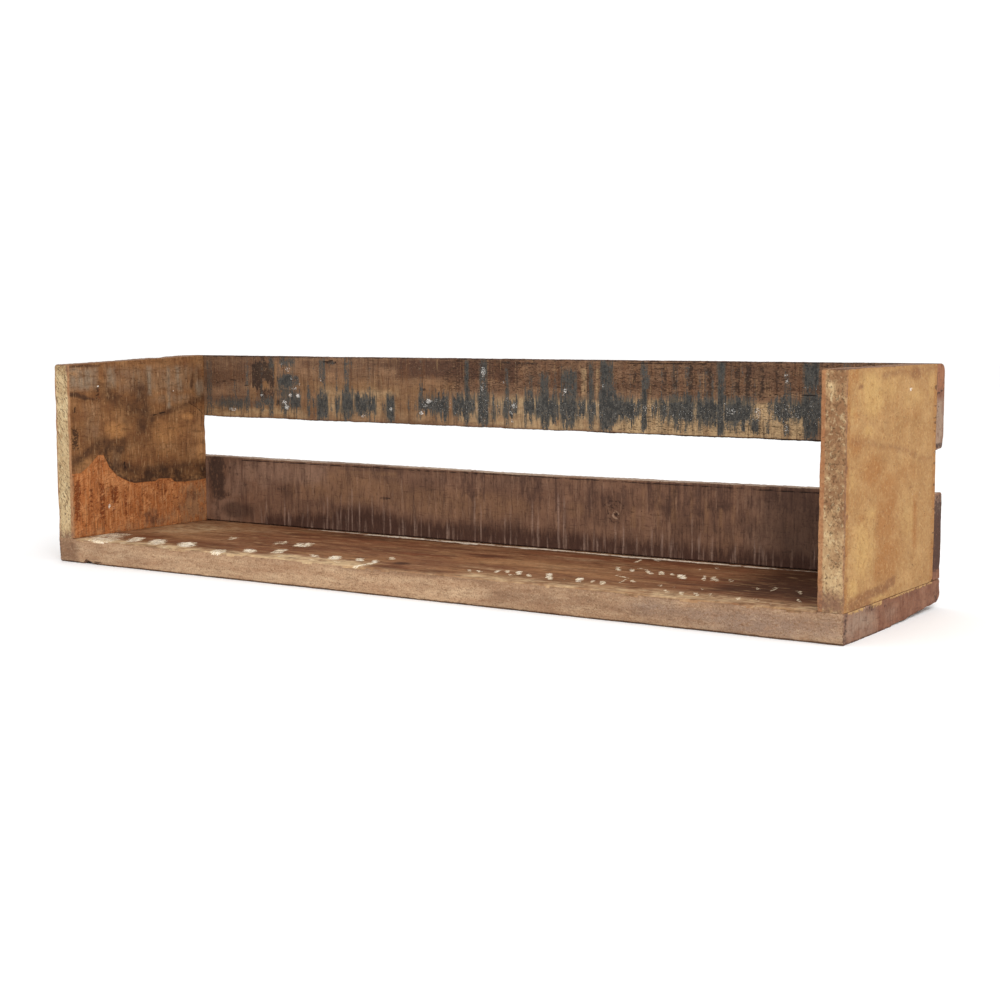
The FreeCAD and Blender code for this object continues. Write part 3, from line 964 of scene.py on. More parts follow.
# The top of the dark band along the lower slat's foot
LOWER_BAND_TOP = (
    (-400, -146), (-306, -142), (-296, -124), (-262, -122), (-215, -120), (-205, -112), (-170, -111),
    (-140, -113), (-130, -117), (-60, -119), (60, -119), (120, -121), (200, -122), (400, -124),
)

# Dark runs down from the lower slat's top: their ends along X, their foot and top, how dark
DRIPS = (
    (-55, -36, -92, -66, 0.8), (-35, -28, -96, -66, 0.6), (11, 36, -92, -66, 0.8), (48, 56, -100, -66, 0.7),
    (62, 68, -86, -66, 0.6), (78, 93, -97, -66, 0.75), (96, 108, -92, -76, 0.8), (112, 124, -90, -74, 0.7),
    (98, 102, -104, -86, 0.7), (120, 126, -102, -83, 0.6), (143, 160, -94, -66, 0.8),
    (163, 176, -92, -66, 0.8), (178, 196, -96, -66, 0.8), (200, 226, -90, -66, 0.75),
    (228, 300, -86, -66, 0.7), (205, 211, -112, -66, 0.6), (232, 238, -110, -66, 0.6),
    (-150, -140, -84, -66, 0.5), (-96, -88, -90, -66, 0.5), (-80, -70, -82, -66, 0.5),
    (-12, 2, -80, -66, 0.5), (150, 154, -116, -90, 0.5), (186, 190, -120, -90, 0.5),
    (300, 330, -100, -66, 0.6), (334, 352, -110, -66, 0.6), (-252, -246, -92, -66, 0.5),
    (-228, -218, -80, -66, 0.5), (-186, -176, -78, -66, 0.5),
)


def pale_streaks():
    """Those listed, and finer ones that are strewn between them."""
    chance = np.random.default_rng(29)
    streaks = [(x, top, 1.2, 0.8) for x, top in FOOT_STREAKS] + [
        [chance.uniform(*ends) for ends in ((-300, 300), (-131, -116), (0.8, 2.0), (0.4, 0.8))]
        for _ in range(110)
    ]
    return [bar(x - half, x + half, -160, top, left, 1.3, 9) for x, top, half, left in streaks]


# What is laid on the lower slat's front, and on its right end
LOWER_SLAT_MARKS = {
    "dark_stain": [
        blot(-364, -74, 13, 11, 1.0, 0.8), blot(-364, -92, 11, 14, 1.0, 0.9),
        blot(-371, -82, 5, 16, 0.9, 1.0), blot(-362, -106, 10, 7, 0.85), blot(-146, -99, 8, 1.8, 0.6),
        bar(-366, -362, -124, -104, 0.55), blot(-350, -106, 7, 2.6, 0.65), blot(-367, -116, 5, 3, 0.5),
        blot(-341, -76, 8, 5, 0.45), blot(-347, -82, 3, 7, 0.5), blot(-326, -96, 4, 4, 0.5),
        blot(-337, -85, 4, 2.4, 0.45), blot(-280, -97, 12, 1.8, 0.5), blot(-40, -122, 20, 4, 0.4),
    ],
    "drip": [scraped(*ends) for ends in DRIPS],
    # The first two marks are painted shade towards the right end; the blot is a dark smudge near the left
    # foot
    "shade": [
        bar(250, 420, -150, -60, 1.0, 40), bar(60, 270, -128, -82, 0.4, 20),
        blot(-336, -122, 20, 8, 1.3, 1.2),
    ],
    "foot_band": [below(LOWER_BAND_TOP, 1.0, 8)],
    "pale_streak": pale_streaks(),
    "golden": [
        blot(-190, -91, 75, 17, 0.7), bar(-265, -205, -108, -72, 0.5, 4), blot(-60, -100, 100, 15, 0.6),
        blot(-318, -83, 6, 7, 0.95), bar(-247, -243, -97, -87, 0.9), bar(-227, -222, -97, -89, 0.9),
        bar(126, 132, -110, -90, 0.75), bar(137, 141, -112, -72, 0.6), bar(150, 157, -110, -70, 0.6),
        bar(166, 172, -104, -70, 0.7), bar(184, 188, -100, -75, 0.75), bar(198, 203, -110, -80, 0.65),
        bar(212, 216, -105, -88, 0.75), bar(224, 228, -102, -84, 0.6), bar(237, 241, -100, -88, 0.6),
        bar(247, 251, -100, -90, 0.6), bar(272, 276, -104, -94, 0.8), bar(214, 232, -122, -106, 0.5, 3),
        blot(70, -98, 10, 8, 0.6), blot(-92, -98, 20, 8, 0.5), bar(-206, -130, -79, -73, 0.7, 2),
    ],
    "grey": [
        bar(-400, -376, -130, -70, 0.7, 3), blot(-352, -122, 24, 14, 0.7), blot(-300, -84, 14, 16, 0.6),
        bar(-350, -215, -92, -68, 0.7, 6), blot(-318, -82, 14, 10, 0.9), blot(-340, -98, 20, 12, 0.6),
        bar(-230, 120, -84, -68, 0.3, 6), bar(230, 400, -134, -70, 0.5, 12),
    ],
    "crack": [
        stroke([(-200, -98), (-182, -96.5)], 0.9, 0.5), stroke([(-150, -98.4), (-138, -99)], 1.0, 0.55),
        stroke([(126, -96.5), (138, -95)], 0.8, 0.6), stroke([(142, -97), (165, -98)], 0.8, 0.6),
        stroke([(182, -98), (190, -97.6)], 0.8, 0.6),
        stroke([(262, -104), (276, -105), (288, -105.5)], 0.8, 0.5), bar(-400, 400, -137, -133.6, 0.8, 0.8),
        bar(-330, 400, -71, -69, 0.62, 0.7),
    ],
    "knot": [
        stroke([(108.2, -100), (109, -97.6), (111.4, -96.6), (113.8, -97.4), (114.6, -99.6)], 1.3, 0.7),
        stroke([(108.2, -100), (109.6, -102.2), (112.2, -102.8)], 1.5, 1.0), blot(104, -91, 5, 1.3, 0.34),
    ],
    "knot_ring": [
        blot(111.4, -99.4, 1.7, 1.4, 1.0),
        stroke([(103, -97), (104, -103), (109, -106.4), (115, -106)], 1.6, 0.6, 1.4),
        stroke([(99, -92), (105, -87.5), (113, -87), (119, -91), (120, -99)], 2.4, 0.6, 1.6),
        blot(108, -93, 11, 6, 0.45, 1.4), blot(111, -100, 12, 9, 0.3, 1.6),
    ],
}
LOWER_END_MARKS = {
    "grey_end": [bar(-18, 1, -84, -66, 0.8, 4)],
    "foot_line": [
        blot(-7, -104, 6, 16, 1.0, 1.4), blot(-13, -80, 4, 8, 0.6, 1.4), bar(-18, 1, -72, -66, 0.6, 1.6),
        bar(-18, 1, -128, -70, 0.85, 3),
    ],
}


def weathered_hardwood():
    """Reclaimed teak left grey and brown by damp: soft upright saw streaks, a dark foot and a knot."""
    ground = ("#604536", "#70513f", "#805e49")
    wood = Finish("weathered_sawn_teak", (40, 9, 26), ground, 41, stops=(0.32, 0.5, 0.68))
    wood.lay("#836045", (24, 9, 12), 0.1, 0.95, 0.75, "golden", 1.4)
    wood.lay("#8b6c59", (14, 9, 18), 0.1, 0.95, 0.8, "grey", 1.4)
    wood.lay("#4d372e", (7, 30, 34), 0.46, 0.7, 0.52)
    wood.lay("#432e26", (2.6, 30, 26), 0.52, 0.7, 0.5)
    wood.lay("#97755e", (2.6, 30, 24), 0.54, 0.72, 0.45)
    wood.lay("#46312a", (2.4, 9, 30), 0.2, 1.0, 0.62, "drip", 2.4, fray=(4, 9, 8))
    # Painted shade towards the right end, beside the right side, and a dark smudge near the left foot
    wood.lay("#3d2a23", (12, 9, 20), 0.2, 0.95, 0.6, "shade", 1.2)
    wood.lay("#3f2820", (2.2, 30, 12), 0.05, 0.95, 0.88, "foot_band", 2.2)
    wood.lay("#43322a", (3.0, 5, 12), 0.25, 0.9, 0.85, "dark_stain", 2.4, fray=(2.2, 2, 3))
    wood.lay("#9c8070", (1.6, 9, 16), 0.25, 1.0, 0.58, "pale_streak", 2.8)
    wood.lay("#3a271e", (9, 4, 1.2), 0.57, 0.68, 0.35, depth=-0.1, bend=0.8)
    wood.lay("#2a1a14", (1.4, 12, 6), 0.58, 0.7, 0.35, depth=-0.15)
    wood.lay("#33221b", (2.4, 2, 2), 0.35, 0.8, 0.85, "knot_ring", 2.4, -0.2, fray=(1.2, 1, 1.2))
    wood.lay("#997c66", (2, 1.6, 1.6), 0.3, 0.6, 0.8, "knot", 2.4, 0.15, fray=(1, 1, 1))
    wood.lay("#1c120d", (6, 3, 1.4), 0.4, 0.62, 0.8, "crack", 1.6, -0.4)
    wood.vary((1.4, 2, 2.6), 0.13)
    wood.vary((16, 9, 16), 0.08)
    return wood.done(0.8, 0.15)


# The left side

# The upper edge of the raw orange wood, in pairs of a place along Y and a height
ORANGE_TOP = (
    (-200, -73), (-189, -73), (-180, -68), (-172, -62), (-166, -57), (-159, -57.5), (-152, -70),
    (-143, -78), (-135, -82), (-126, -86), (-118, -88), (-100, -88), (-90, -88.5), (-86, -86), (-68, -87),
    (-63, -91), (-50, -92), (-30, -92), (-17, -91),
)

# How black the tide mark above the orange is, place by place along Y
TIDE_MARK = (
    (-160, 0.6), (-150, 0.95), (-130, 0.7), (-112, 0.85), (-98, 1.0), (-88, 0.8), (-78, 1.0), (-68, 0.7),
    (-60, 1.0), (-45, 0.75), (-32, 0.7), (-17, 0.8),
)

# Columns of dark saw dashes: place along Y, half width, foot, top, how dark
SAW_DASHES = (
    (-194, 4, -119, -79, 1.1), (-162, 3.5, -121, -84, 1.0), (-176, 2.5, -112, -84, 0.75),
    (-146, 5, -106, -88, 0.9), (-148, 2, -116, -100, 0.65), (-131, 1.8, -122, -88, 0.8),
    (-118, 2, -120, -96, 0.55), (-87, 2, -104, -88, 0.8), (-77, 2.2, -105, -90, 0.75),
    (-162, 2.5, -78, -64, 0.6), (-123, 1.8, -112, -90, 0.5), (-104, 2, -106, -92, 0.45),
    (-184, 3, -96, -80, 0.5), (-143, 1.5, -118, -104, 0.6), (-163, 3, -4, 10, 0.6),
    (-120, 2, -26, -16, 0.5), (-66, 1.6, -126, -96, 0.4), (-190, 2.5, -14, -4, 0.5),
    (-176, 2.5, -20, -6, 0.4), (-60, 3, -124, -112, 0.5),
)


# What is laid on the left side's inner face, and on its front edge
LEFT_SIDE_MARKS = {
    "orange": [below(ORANGE_TOP, 1.0, 1.2)],
    "black_band": [
        smoke(ORANGE_TOP[4:], 17, TIDE_MARK), stroke([(-156, -54), (-154, -64), (-148, -72)], 8, 0.8, 1.6),
        blot(-58, -84, 8, 8, 0.9, 1.4), blot(-97, -82, 14, 8, 0.95, 1.4), blot(-78, -79, 8, 7, 0.9, 1.4),
        blot(-21, -86, 7, 10, 0.8, 1.4), blot(-130, -72, 12, 7, 0.6, 1.4),
    ],
    "dark_stain": [
        stroke([(-202, 3), (-190, 2), (-181, -1)], 5, 0.9, 1.4),
        stroke([(-186, 0), (-170, -3)], 3, 0.7, 1.6),
        stroke([(-160, 6), (-152, -1), (-140, -3), (-128, -10), (-116, -20)], 20, 0.62, 1.6),
        blot(-151, 1, 9, 8, 0.75, 1.2), blot(-104, -22, 13, 26, 0.72, 1.2), blot(-110, 4, 8, 12, 0.45, 1.4),
        stroke([(-104, -36), (-88, -22), (-62, -17), (-40, -13), (-16, -6)], 9, 0.62, 1.4),
        stroke([(-92, -21), (-72, -20)], 7, 0.6, 1.4),
        stroke([(-202, -64), (-186, -58), (-172, -50), (-150, -50), (-136, -54)], 12, 0.75, 1.4),
        stroke([(-150, -52), (-142, -66), (-120, -76), (-90, -76), (-60, -76), (-17, -78)], 14, 0.62, 1.6),
        blot(-26, 12, 11, 20, 0.3, 1.2), blot(-108, -6, 16, 22, 0.7, 1.4), blot(-150, -46, 40, 9, 0.6, 1.4),
        stroke([(-36, 4), (-33, 18)], 5, 0.7, 1.4), bar(-202, -160, 28, 30.5, 0.8, 1.2),
        bar(-170, -160, -4, 8, 0.5, 3), blot(-80, -116, 34, 8, 0.55, 1.2),
        bar(-125, -88, -134, -129, 0.5, 2), bar(-31, -17, -135, -131, 1.0, 0.8),
        blot(-48, -108, 12, 10, 0.45, 1.2), blot(-130, -30, 6, 16, 0.4, 1.4),
        blot(-180, -34, 16, 14, 0.35, 1.4),
    ],
    "fine_line": [
        stroke([(-91, -22), (-84, -20.5), (-74, -19.5)], 2.2, 0.65),
        stroke([(-62, -13), (-52, -12.6)], 1.6, 0.5),
        stroke([(-48, -12), (-40, -11), (-28, -17), (-19, -24)], 1.6, 0.55),
        stroke([(-132, -66), (-131, -72)], 2.2, 0.8),
    ],
    "saw_block": [
        bar(-199, -190, -52, -28, 0.9, 2.5, 6), bar(-199, -192, -16, -8, 0.7, 2, 3),
        bar(-168, -162, -8, 12, 0.6, 2, 4), bar(-179, -175, -16, -2, 0.5, 2, 4),
        bar(-150, -146, -40, -20, 0.4, 2, 4),
    ],
    "grey": [
        bar(-99, -92, -2, 28, 0.85, 3), bar(-72, -65, -16, 27, 0.8, 3), bar(-60, -48, 0, 27, 0.75, 4),
        bar(-155, -139, 6, 29, 0.65, 4), bar(-202, -164, 6, 29, 0.75, 5), bar(-140, -20, 0, 29, 0.42, 6),
        bar(-186, -160, -44, -4, 0.35, 6), bar(-113, -107, -4, 26, 0.6, 3), blot(-24, 4, 8, 10, 0.8, 1.2),
        bar(-150, -134, -76, -50, 0.35, 4), blot(-60, -6, 34, 6, 0.5, 1.4),
    ],
    "tan": [
        blot(-143, -35, 15, 10, 0.75, 1.0), blot(-41, -25, 9, 3.5, 1.0, 1.0),
        blot(-68, -40, 30, 13, 0.55, 1.2), blot(-78, -60, 18, 5, 0.4, 1.2), blot(-24, -58, 7, 26, 0.6, 1.4),
        blot(-172, -14, 8, 6, 0.2, 1.4), blot(-182, -62, 9, 5, 0.6, 1.2), blot(-194, 23, 6, 3, 0.6, 1.2),
        bar(-170, -15, -134, -131, 0.6, 1.2),
    ],
    "saw_dash": [
        bar(y - half, y + half, low, high, strength, 2.6, 4) for y, half, low, high, strength in SAW_DASHES
    ],
    "rear_tan": [
        bar(-56, -12, -138, -94, 0.9, 14), bar(-110, -60, -138, -116, 0.7, 12),
        bar(-202, -110, -138, -124, 0.5, 7), bar(-202, -197.5, -136, -73, 0.8, 1.2),
    ],
    "foot_shade": [
        blot(-94, -124, 17, 9, 0.75, 1.2), blot(-40, -107, 15, 8, 0.65, 1.2),
        stroke([(-84, -130), (-50, -114)], 8, 0.5, 1.4),
    ],
    "fleck": [
        blot(-164, 9.5, 2, 1.2, 0.8), blot(-153, -108, 1.8, 2.4, 0.8), blot(-62, 2, 1.4, 1.0, 0.6),
        blot(-95, 3, 1.6, 1.2, 0.5), blot(-147, -110, 1.4, 3, 0.5),
    ],
}
LEFT_EDGE_MARKS = {
    "rubbed_arris": [bar(-383, -379, -136, 40, 1.1, 1.6), bar(-401, -398, -136, 40, 0.7, 1.4)],
    "edge_stain": [
        bar(-401, -379, 22, 38, 0.7, 4), blot(-392, -38, 6, 12, 0.5, 1.4), blot(-386, 6, 5, 8, 0.5, 1.4),
        blot(-396, -90, 4, 20, 0.4, 1.4),
    ],
    "foot_grime": [bar(-401, -379, -137, -128, 0.7, 4), bar(-386, -379, 22, 32, 0.6, 2)],
}


def stained_side():
    """Reclaimed mango with an old water line: grey-brown above a black tide mark, raw orange wood below."""
    ground = ("#724a2e", "#835a38", "#956c47")
    wood = Finish("water_stained_mango", (9, 26, 16), ground, 71)
    wood.lay("#897763", (4, 6, 16), 0.1, 0.95, 0.88, "grey", 1.6)
    wood.lay("#ae7b4b", (9, 12, 9), 0.1, 0.95, 0.85, "tan", 1.6)
    wood.lay("#5a3820", (9, 18, 4), 0.5, 0.72, 0.55, bend=0.5)
    wood.lay("#563420", (9, 4, 34), 0.5, 0.7, 0.4)
    wood.lay("#b68a5e", (9, 3, 22), 0.54, 0.72, 0.38)
    wood.lay("#452e20", (9, 9, 7), 0.1, 0.95, 0.88, "dark_stain", 1.8)
    wood.lay("#36241b", (9, 9, 6), 0.15, 0.95, 0.84, "black_band", 1.8, fray=(4, 4, 3))
    wood.lay("#a8673a", (9, 6, 4), 0.4, 0.6, 1.0, "orange", 0.7)
    wood.lay("#c98a58", (9, 16, 14), 0.95, 1.5, 0.7, "orange", 3.0)
    wood.lay("#d39762", (9, 2.6, 26), 0.95, 1.4, 0.4, "orange", 3.4)
    wood.lay("#77452a", (9, 3.2, 30), 1.05, 1.5, 0.35, "orange", 3.4, fray=(3, 3, 6))
    wood.lay("#7a3a1a", (2, 5, 1.3), 1.1, 1.6, 0.65, "orange", 4.0, -0.1, bend=0.5, turn=(-20, 0, 0))
    wood.lay("#9a7352", (9, 6, 10), 0.25, 0.95, 0.8, "rear_tan", 2.4, fray=(3, 2.4, 9))
    wood.lay("#6f4732", (3, 6, 5), 0.3, 0.9, 0.8, "foot_shade", 2.2, fray=(3, 3, 9))
    wood.lay("#64290f", (2, 5, 2.0), 0.4, 0.9, 0.75, "saw_dash", 3.0, -0.12,
             fray=(2, 2.4, 1.4), turn=(-20, 0, 0))
    wood.lay("#2b1c14", (2, 6, 2.4), 0.45, 0.85, 0.8, "saw_block", 2.4, -0.15,
             fray=(2, 2.4, 1.8), turn=(-16, 0, 0))
    wood.lay("#3c2414", (2, 1.6, 16), 0.56, 0.68, 0.42, depth=-0.14)
    wood.lay("#c39c72", (2, 1.6, 9), 0.58, 0.72, 0.4)
    wood.lay("#2c1a0f", (2, 5, 1.1), 0.57, 0.68, 0.5, depth=-0.1, bend=0.5)
    wood.lay("#1f130c", (3, 5, 2), 0.4, 0.62, 0.9, "fine_line", 1.6, -0.2)
    wood.lay("#e6dccd", (1.3, 1.3, 1.3), 0.5, 0.62, 0.95, "fleck", 3.0)
    wood.vary((2, 1.8, 2.0), 0.18)
    wood.vary((9, 12, 9), 0.1)
    return wood.done(0.78, 0.12)


# The right side

# How high the short dark dashes by the rear arris stand
REAR_DASHES = (18, 4, -5, -9, -16, -32, -41, -58, -77, -96, -104, -109)


# What is laid on the right side's outer face, and on its front edge
RIGHT_SIDE_MARKS = {
    "yellow": [
        blot(-154, 18, 22, 16, 1.0, 1.2), blot(-166, -92, 22, 24, 0.8, 1.4),
        blot(-118, 22, 22, 10, 0.6, 1.4), blot(-76, -80, 18, 18, 0.5, 1.4), blot(-28, 22, 8, 12, 0.7, 1.4),
        blot(-183, -118, 10, 7, 0.9, 1.2), blot(-190, 6, 8, 7, 0.6, 1.4), blot(-160, -8, 10, 4, 0.7, 1.4),
        blot(-150, -68, 22, 6, 0.6, 1.4), blot(-188, -42, 10, 8, 0.5, 1.4), blot(-70, 12, 30, 8, 0.5, 1.4),
        blot(-136, -131, 12, 3, 0.9, 1.2),
    ],
    "orange": [
        blot(-186, -18, 22, 8, 0.7, 1.2), blot(-150, -38, 26, 12, 0.75, 1.2),
        blot(-120, -52, 26, 12, 0.7, 1.2), bar(-143, -98, -122, -56, 0.7, 8),
        bar(-66, -56, -104, -62, 0.8, 4), blot(-80, -44, 26, 8, 0.6, 1.4),
        blot(-106, -100, 22, 18, 0.6, 1.4), bar(-202, -180, 26, 38, 0.7, 5), blot(-70, 0, 24, 6, 0.35, 1.4),
        bar(-201, -194, -136, 38, 0.6, 2), bar(-25, -15, -136, 38, 0.6, 3), blot(-184, 4, 8, 4, 0.6, 1.2),
        blot(-168, -52, 12, 8, 0.5, 1.2), blot(-170, -70, 10, 4, 0.5, 1.2),
    ],
    "brown": [
        stroke([(-190, -14), (-150, -18), (-114, -22), (-80, -27), (-48, -36), (-24, -36)], 8, 0.55, 1.8),
        stroke([(-132, 31), (-90, 33), (-66, 31), (-36, 33), (-17, 34)], 8, 0.6, 1.8),
        blot(-64, 31, 14, 5, 0.9, 1.2), blot(-176, 24, 6, 2.5, 0.8, 1.2),
        stroke([(-186, -130), (-166, -128), (-140, -128), (-104, -124)], 9, 0.95, 1.2),
        blot(-170, -131, 26, 6, 1.0, 1.0), blot(-95, -17, 6, 2, 0.5, 1.2), blot(-112, 4, 6, 2, 0.4, 1.2),
        stroke([(-134, -66), (-116, -78)], 4, 0.4, 1.4), blot(-106, -100, 10, 3, 0.4, 1.4),
        blot(-68, -55, 10, 2, 0.45, 1.2), stroke([(-202, 36), (-120, 36), (-16, 36)], 2.4, 0.5, 1.0),
        blot(-195, -111, 3, 2, 0.8, 1.2),
    ],
    "arris_grime": [
        bar(-203, -198.6, -136, 38, 0.5, 1.0), bar(-203, -197.4, -76, 8, 0.4, 1.4),
        blot(-199, -33, 2.6, 5, 0.7, 1.0), blot(-198, -66, 3.4, 3, 0.6, 1.0),
        bar(-203, -196.4, -134, -104, 0.5, 2.4), blot(-199, -92, 2, 8, 0.5, 1.2),
    ],
    "fine_line": [blot(-19, z, 4, 1.1, 0.8) for z in REAR_DASHES] + [
        blot(-18, 18.5, 5, 2.4, 1.0), stroke([(-46, -75), (-38, -78)], 1.6, 0.7),
        stroke([(-75, -110), (-60, -118)], 1.6, 0.6), blot(-86, -83, 3, 1, 0.6), blot(-42, -101, 3, 1, 0.6),
        stroke([(-80, -57), (-64, -55)], 1.4, 0.6),
    ],
    "fleck": [blot(-75, 19, 3, 1.2, 0.9), blot(-67, -61, 2, 0.9, 0.55), blot(-51, -62, 2.4, 0.9, 0.55)],
}
RIGHT_EDGE_MARKS = {
    "rubbed_arris": [bar(379, 383.5, -136, 40, 1.1, 1.6), bar(397.6, 401, -136, 40, 0.5, 1.2)],
    "edge_stain": [
        bar(379, 401, -66, 20, 0.75, 8), blot(391, -8, 8, 22, 1.0, 1.4), blot(396, -50, 6, 24, 0.9, 1.4),
        blot(386, -30, 6, 16, 0.7, 1.4), blot(392, 32, 8, 6, 0.9, 1.2), blot(395, 12, 5, 16, 0.8, 1.4),
        blot(386, 16, 5, 8, 0.5, 1.4), blot(394, -96, 5, 8, 0.5, 1.4), bar(379, 401, -137, -124, 0.4, 4),
    ],
    "foot_grime": [bar(379, 401, -137, -120, 0.85, 8), bar(398.6, 401, -136, 30, 0.6, 1.0)],
}


def golden_side():
    """Planed mango, oiled: soft golden figure, broad orange patches and grime along the handled arris."""
    ground = ("#b28452", "#be915d", "#ca9e68")
    wood = Finish("oiled_golden_mango", (9, 26, 20), ground, 101, light=1.4)
    wood.lay("#d8ae6e", (9, 16, 12), 0.1, 0.95, 0.75, "yellow", 1.6)
    wood.lay("#ad733e", (9, 20, 14), 0.1, 0.95, 0.8, "orange", 1.6)
    wood.lay("#8a5a3c", (9, 14, 6), 0.2, 0.95, 0.75, "brown", 1.8)
    wood.lay("#9f6c40", (9, 22, 5), 0.5, 0.72, 0.2, bend=0.6, turn=(28, 0, 0))
    wood.lay("#ddb680", (9, 20, 5), 0.54, 0.74, 0.2, bend=0.6, turn=(28, 0, 0))
    wood.lay("#a97448", (9, 3, 30), 0.54, 0.74, 0.35)
    wood.lay("#8c5c33", (9, 5, 1.8), 0.59, 0.72, 0.35, depth=-0.06, bend=0.8)
    wood.lay("#a8733f", (9, 5, 3.4), 0.5, 0.68, 0.4, bend=0.4)
    wood.lay("#dfb97f", (9, 3.6, 2.6), 0.52, 0.7, 0.34, bend=0.4)
    wood.lay("#6b4026", (3, 3.0, 1.4), 0.6, 0.7, 0.45, depth=-0.1, bend=0.6)
    wood.lay("#74483a", (3, 4, 8), 0.3, 0.9, 0.75, "arris_grime", 2.2, fray=(3, 3, 3))
    wood.lay("#5c3a28", (2, 3, 1.6), 0.45, 0.75, 0.7, "fine_line", 2.2, -0.15)
    wood.lay("#f1e6da", (1.5, 1.5, 1.5), 0.5, 0.7, 0.9, "fleck", 2.4)
    wood.vary((2, 3, 1.8), 0.12)
    wood.vary((9, 14, 9), 0.07)
    return wood.done(0.7, 0.1)


# The base

# White dabs on the base's top, each a dry brush stroke: its start, its end, its width and how much is left
DABS = (
    (-374, -152, -352, -192, 15, 0.8), (-362, -184, -338, -199, 10, 0.85),
    (-333, -158, -316, -188, 6, 0.95), (-308, -158, -281, -190, 7, 0.95), (-296, -168, -290, -180, 7, 0.7),
    (-269, -160, -247, -185, 7, 1.05), (-346, -176, -338, -188, 4, 0.7), (-324, -188, -316, -198, 4, 0.6),
    (-272, -188, -262, -198, 4, 0.6), (-260, -106, -247, -124, 5, 0.6), (-198, -106, -187, -126, 6, 0.62),
    (-173, -102, -158, -128, 7, 0.95), (-160, -148, -147, -177, 5, 0.85), (-189, -163, -170, -184, 5, 0.95),
    (-206, -184, -196, -199, 6, 0.95), (-118, -161, -98, -177, 4, 0.8), (-91, -159, -80, -175, 6, 1.0),
    (-64, -160, -54, -173, 5, 0.95), (-46, -137, -36, -150, 4, 0.8), (-44, -161, -36, -177, 5, 0.95),
    (-36, -177, -38, -199, 5, 0.8), (-76, -180, -60, -192, 4, 0.6), (-100, -184, -90, -194, 4, 0.5),
    (-138, -180, -126, -192, 4, 0.5), (53, -163, 60, -170, 4, 0.9), (64, -164, 71, -171, 4, 0.9),
    (78, -154, 83, -165, 4, 1.1), (86, -152, 91, -162, 4, 1.05), (95, -149, 105, -165, 5, 1.1),
    (99, -168, 103, -173, 4, 0.8), (111, -160, 118, -169, 4, 0.95), (123, -146, 134, -166, 5, 1.05),
    (131, -158, 141, -174, 4, 1.0), (146, -158, 150, -168, 3, 0.6), (157, -153, 165, -171, 6, 1.0),
    (171, -158, 176, -168, 4, 0.8), (181, -160, 188, -172, 5, 0.85), (191, -140, 196, -160, 4, 0.6),
    (197, -141, 203, -148, 4, 0.8), (152, -84, 162, -101, 5, 0.85), (167, -87, 174, -100, 5, 0.9),
    (170, -80, 183, -87, 4, 0.7), (184, -89, 193, -102, 5, 1.0), (194, -86, 202, -100, 5, 0.9),
    (206, -91, 211, -99, 4, 0.8), (217, -95, 227, -111, 7, 1.1), (235, -88, 242, -103, 4, 0.9),
    (244, -88, 251, -106, 4, 0.85), (240, -101, 246, -111, 4, 0.8), (250, -98, 257, -109, 4, 0.85),
    (262, -96, 267, -105, 4, 0.7), (147, -36, 151, -52, 4, 0.8), (160, -30, 165, -38, 4, 0.6),
    (222, -40, 229, -51, 5, 0.6), (213, -54, 217, -62, 4, 0.6), (172, -124, 189, -133, 5, 0.6),
    (243, -171, 250, -181, 4, 0.8), (257, -171, 263, -182, 4, 0.85), (268, -170, 276, -182, 4, 0.9),
    (280, -168, 286, -180, 4, 0.7), (305, -172, 311, -184, 4, 0.7), (297, -122, 303, -130, 4, 0.7),
    (309, -112, 313, -130, 4, 0.75), (331, -120, 338, -133, 4, 0.75), (200, -146, 206, -154, 4, 0.6),
    (226, -147, 231, -156, 4, 0.7), (238, -148, 243, -156, 3, 0.6), (262, -148, 268, -156, 3, 0.6),
    (318, -170, 326, -180, 4, 0.5), (345, -155, 352, -166, 4, 0.6), (354, -90, 358, -100, 4, 0.5),
    (332, -180, 340, -190, 4, 0.5),
)


def dab(x0, y0, x1, y1, width, left):
    """A dab is broad and short where the board's left end was dried off, and narrows to the right."""
    short = np.interp(x0, (-140, 0), (0.24, 0.04))
    start = (x0 + short * (x1 - x0), y0 + short * (y1 - y0))
    end = (x1 - short * (x1 - x0), y1 - short * (y1 - y0))
    return stroke([start, end], np.interp(x0, (-140, 0), (2.5, 1.0)) * width, left, 0.9)


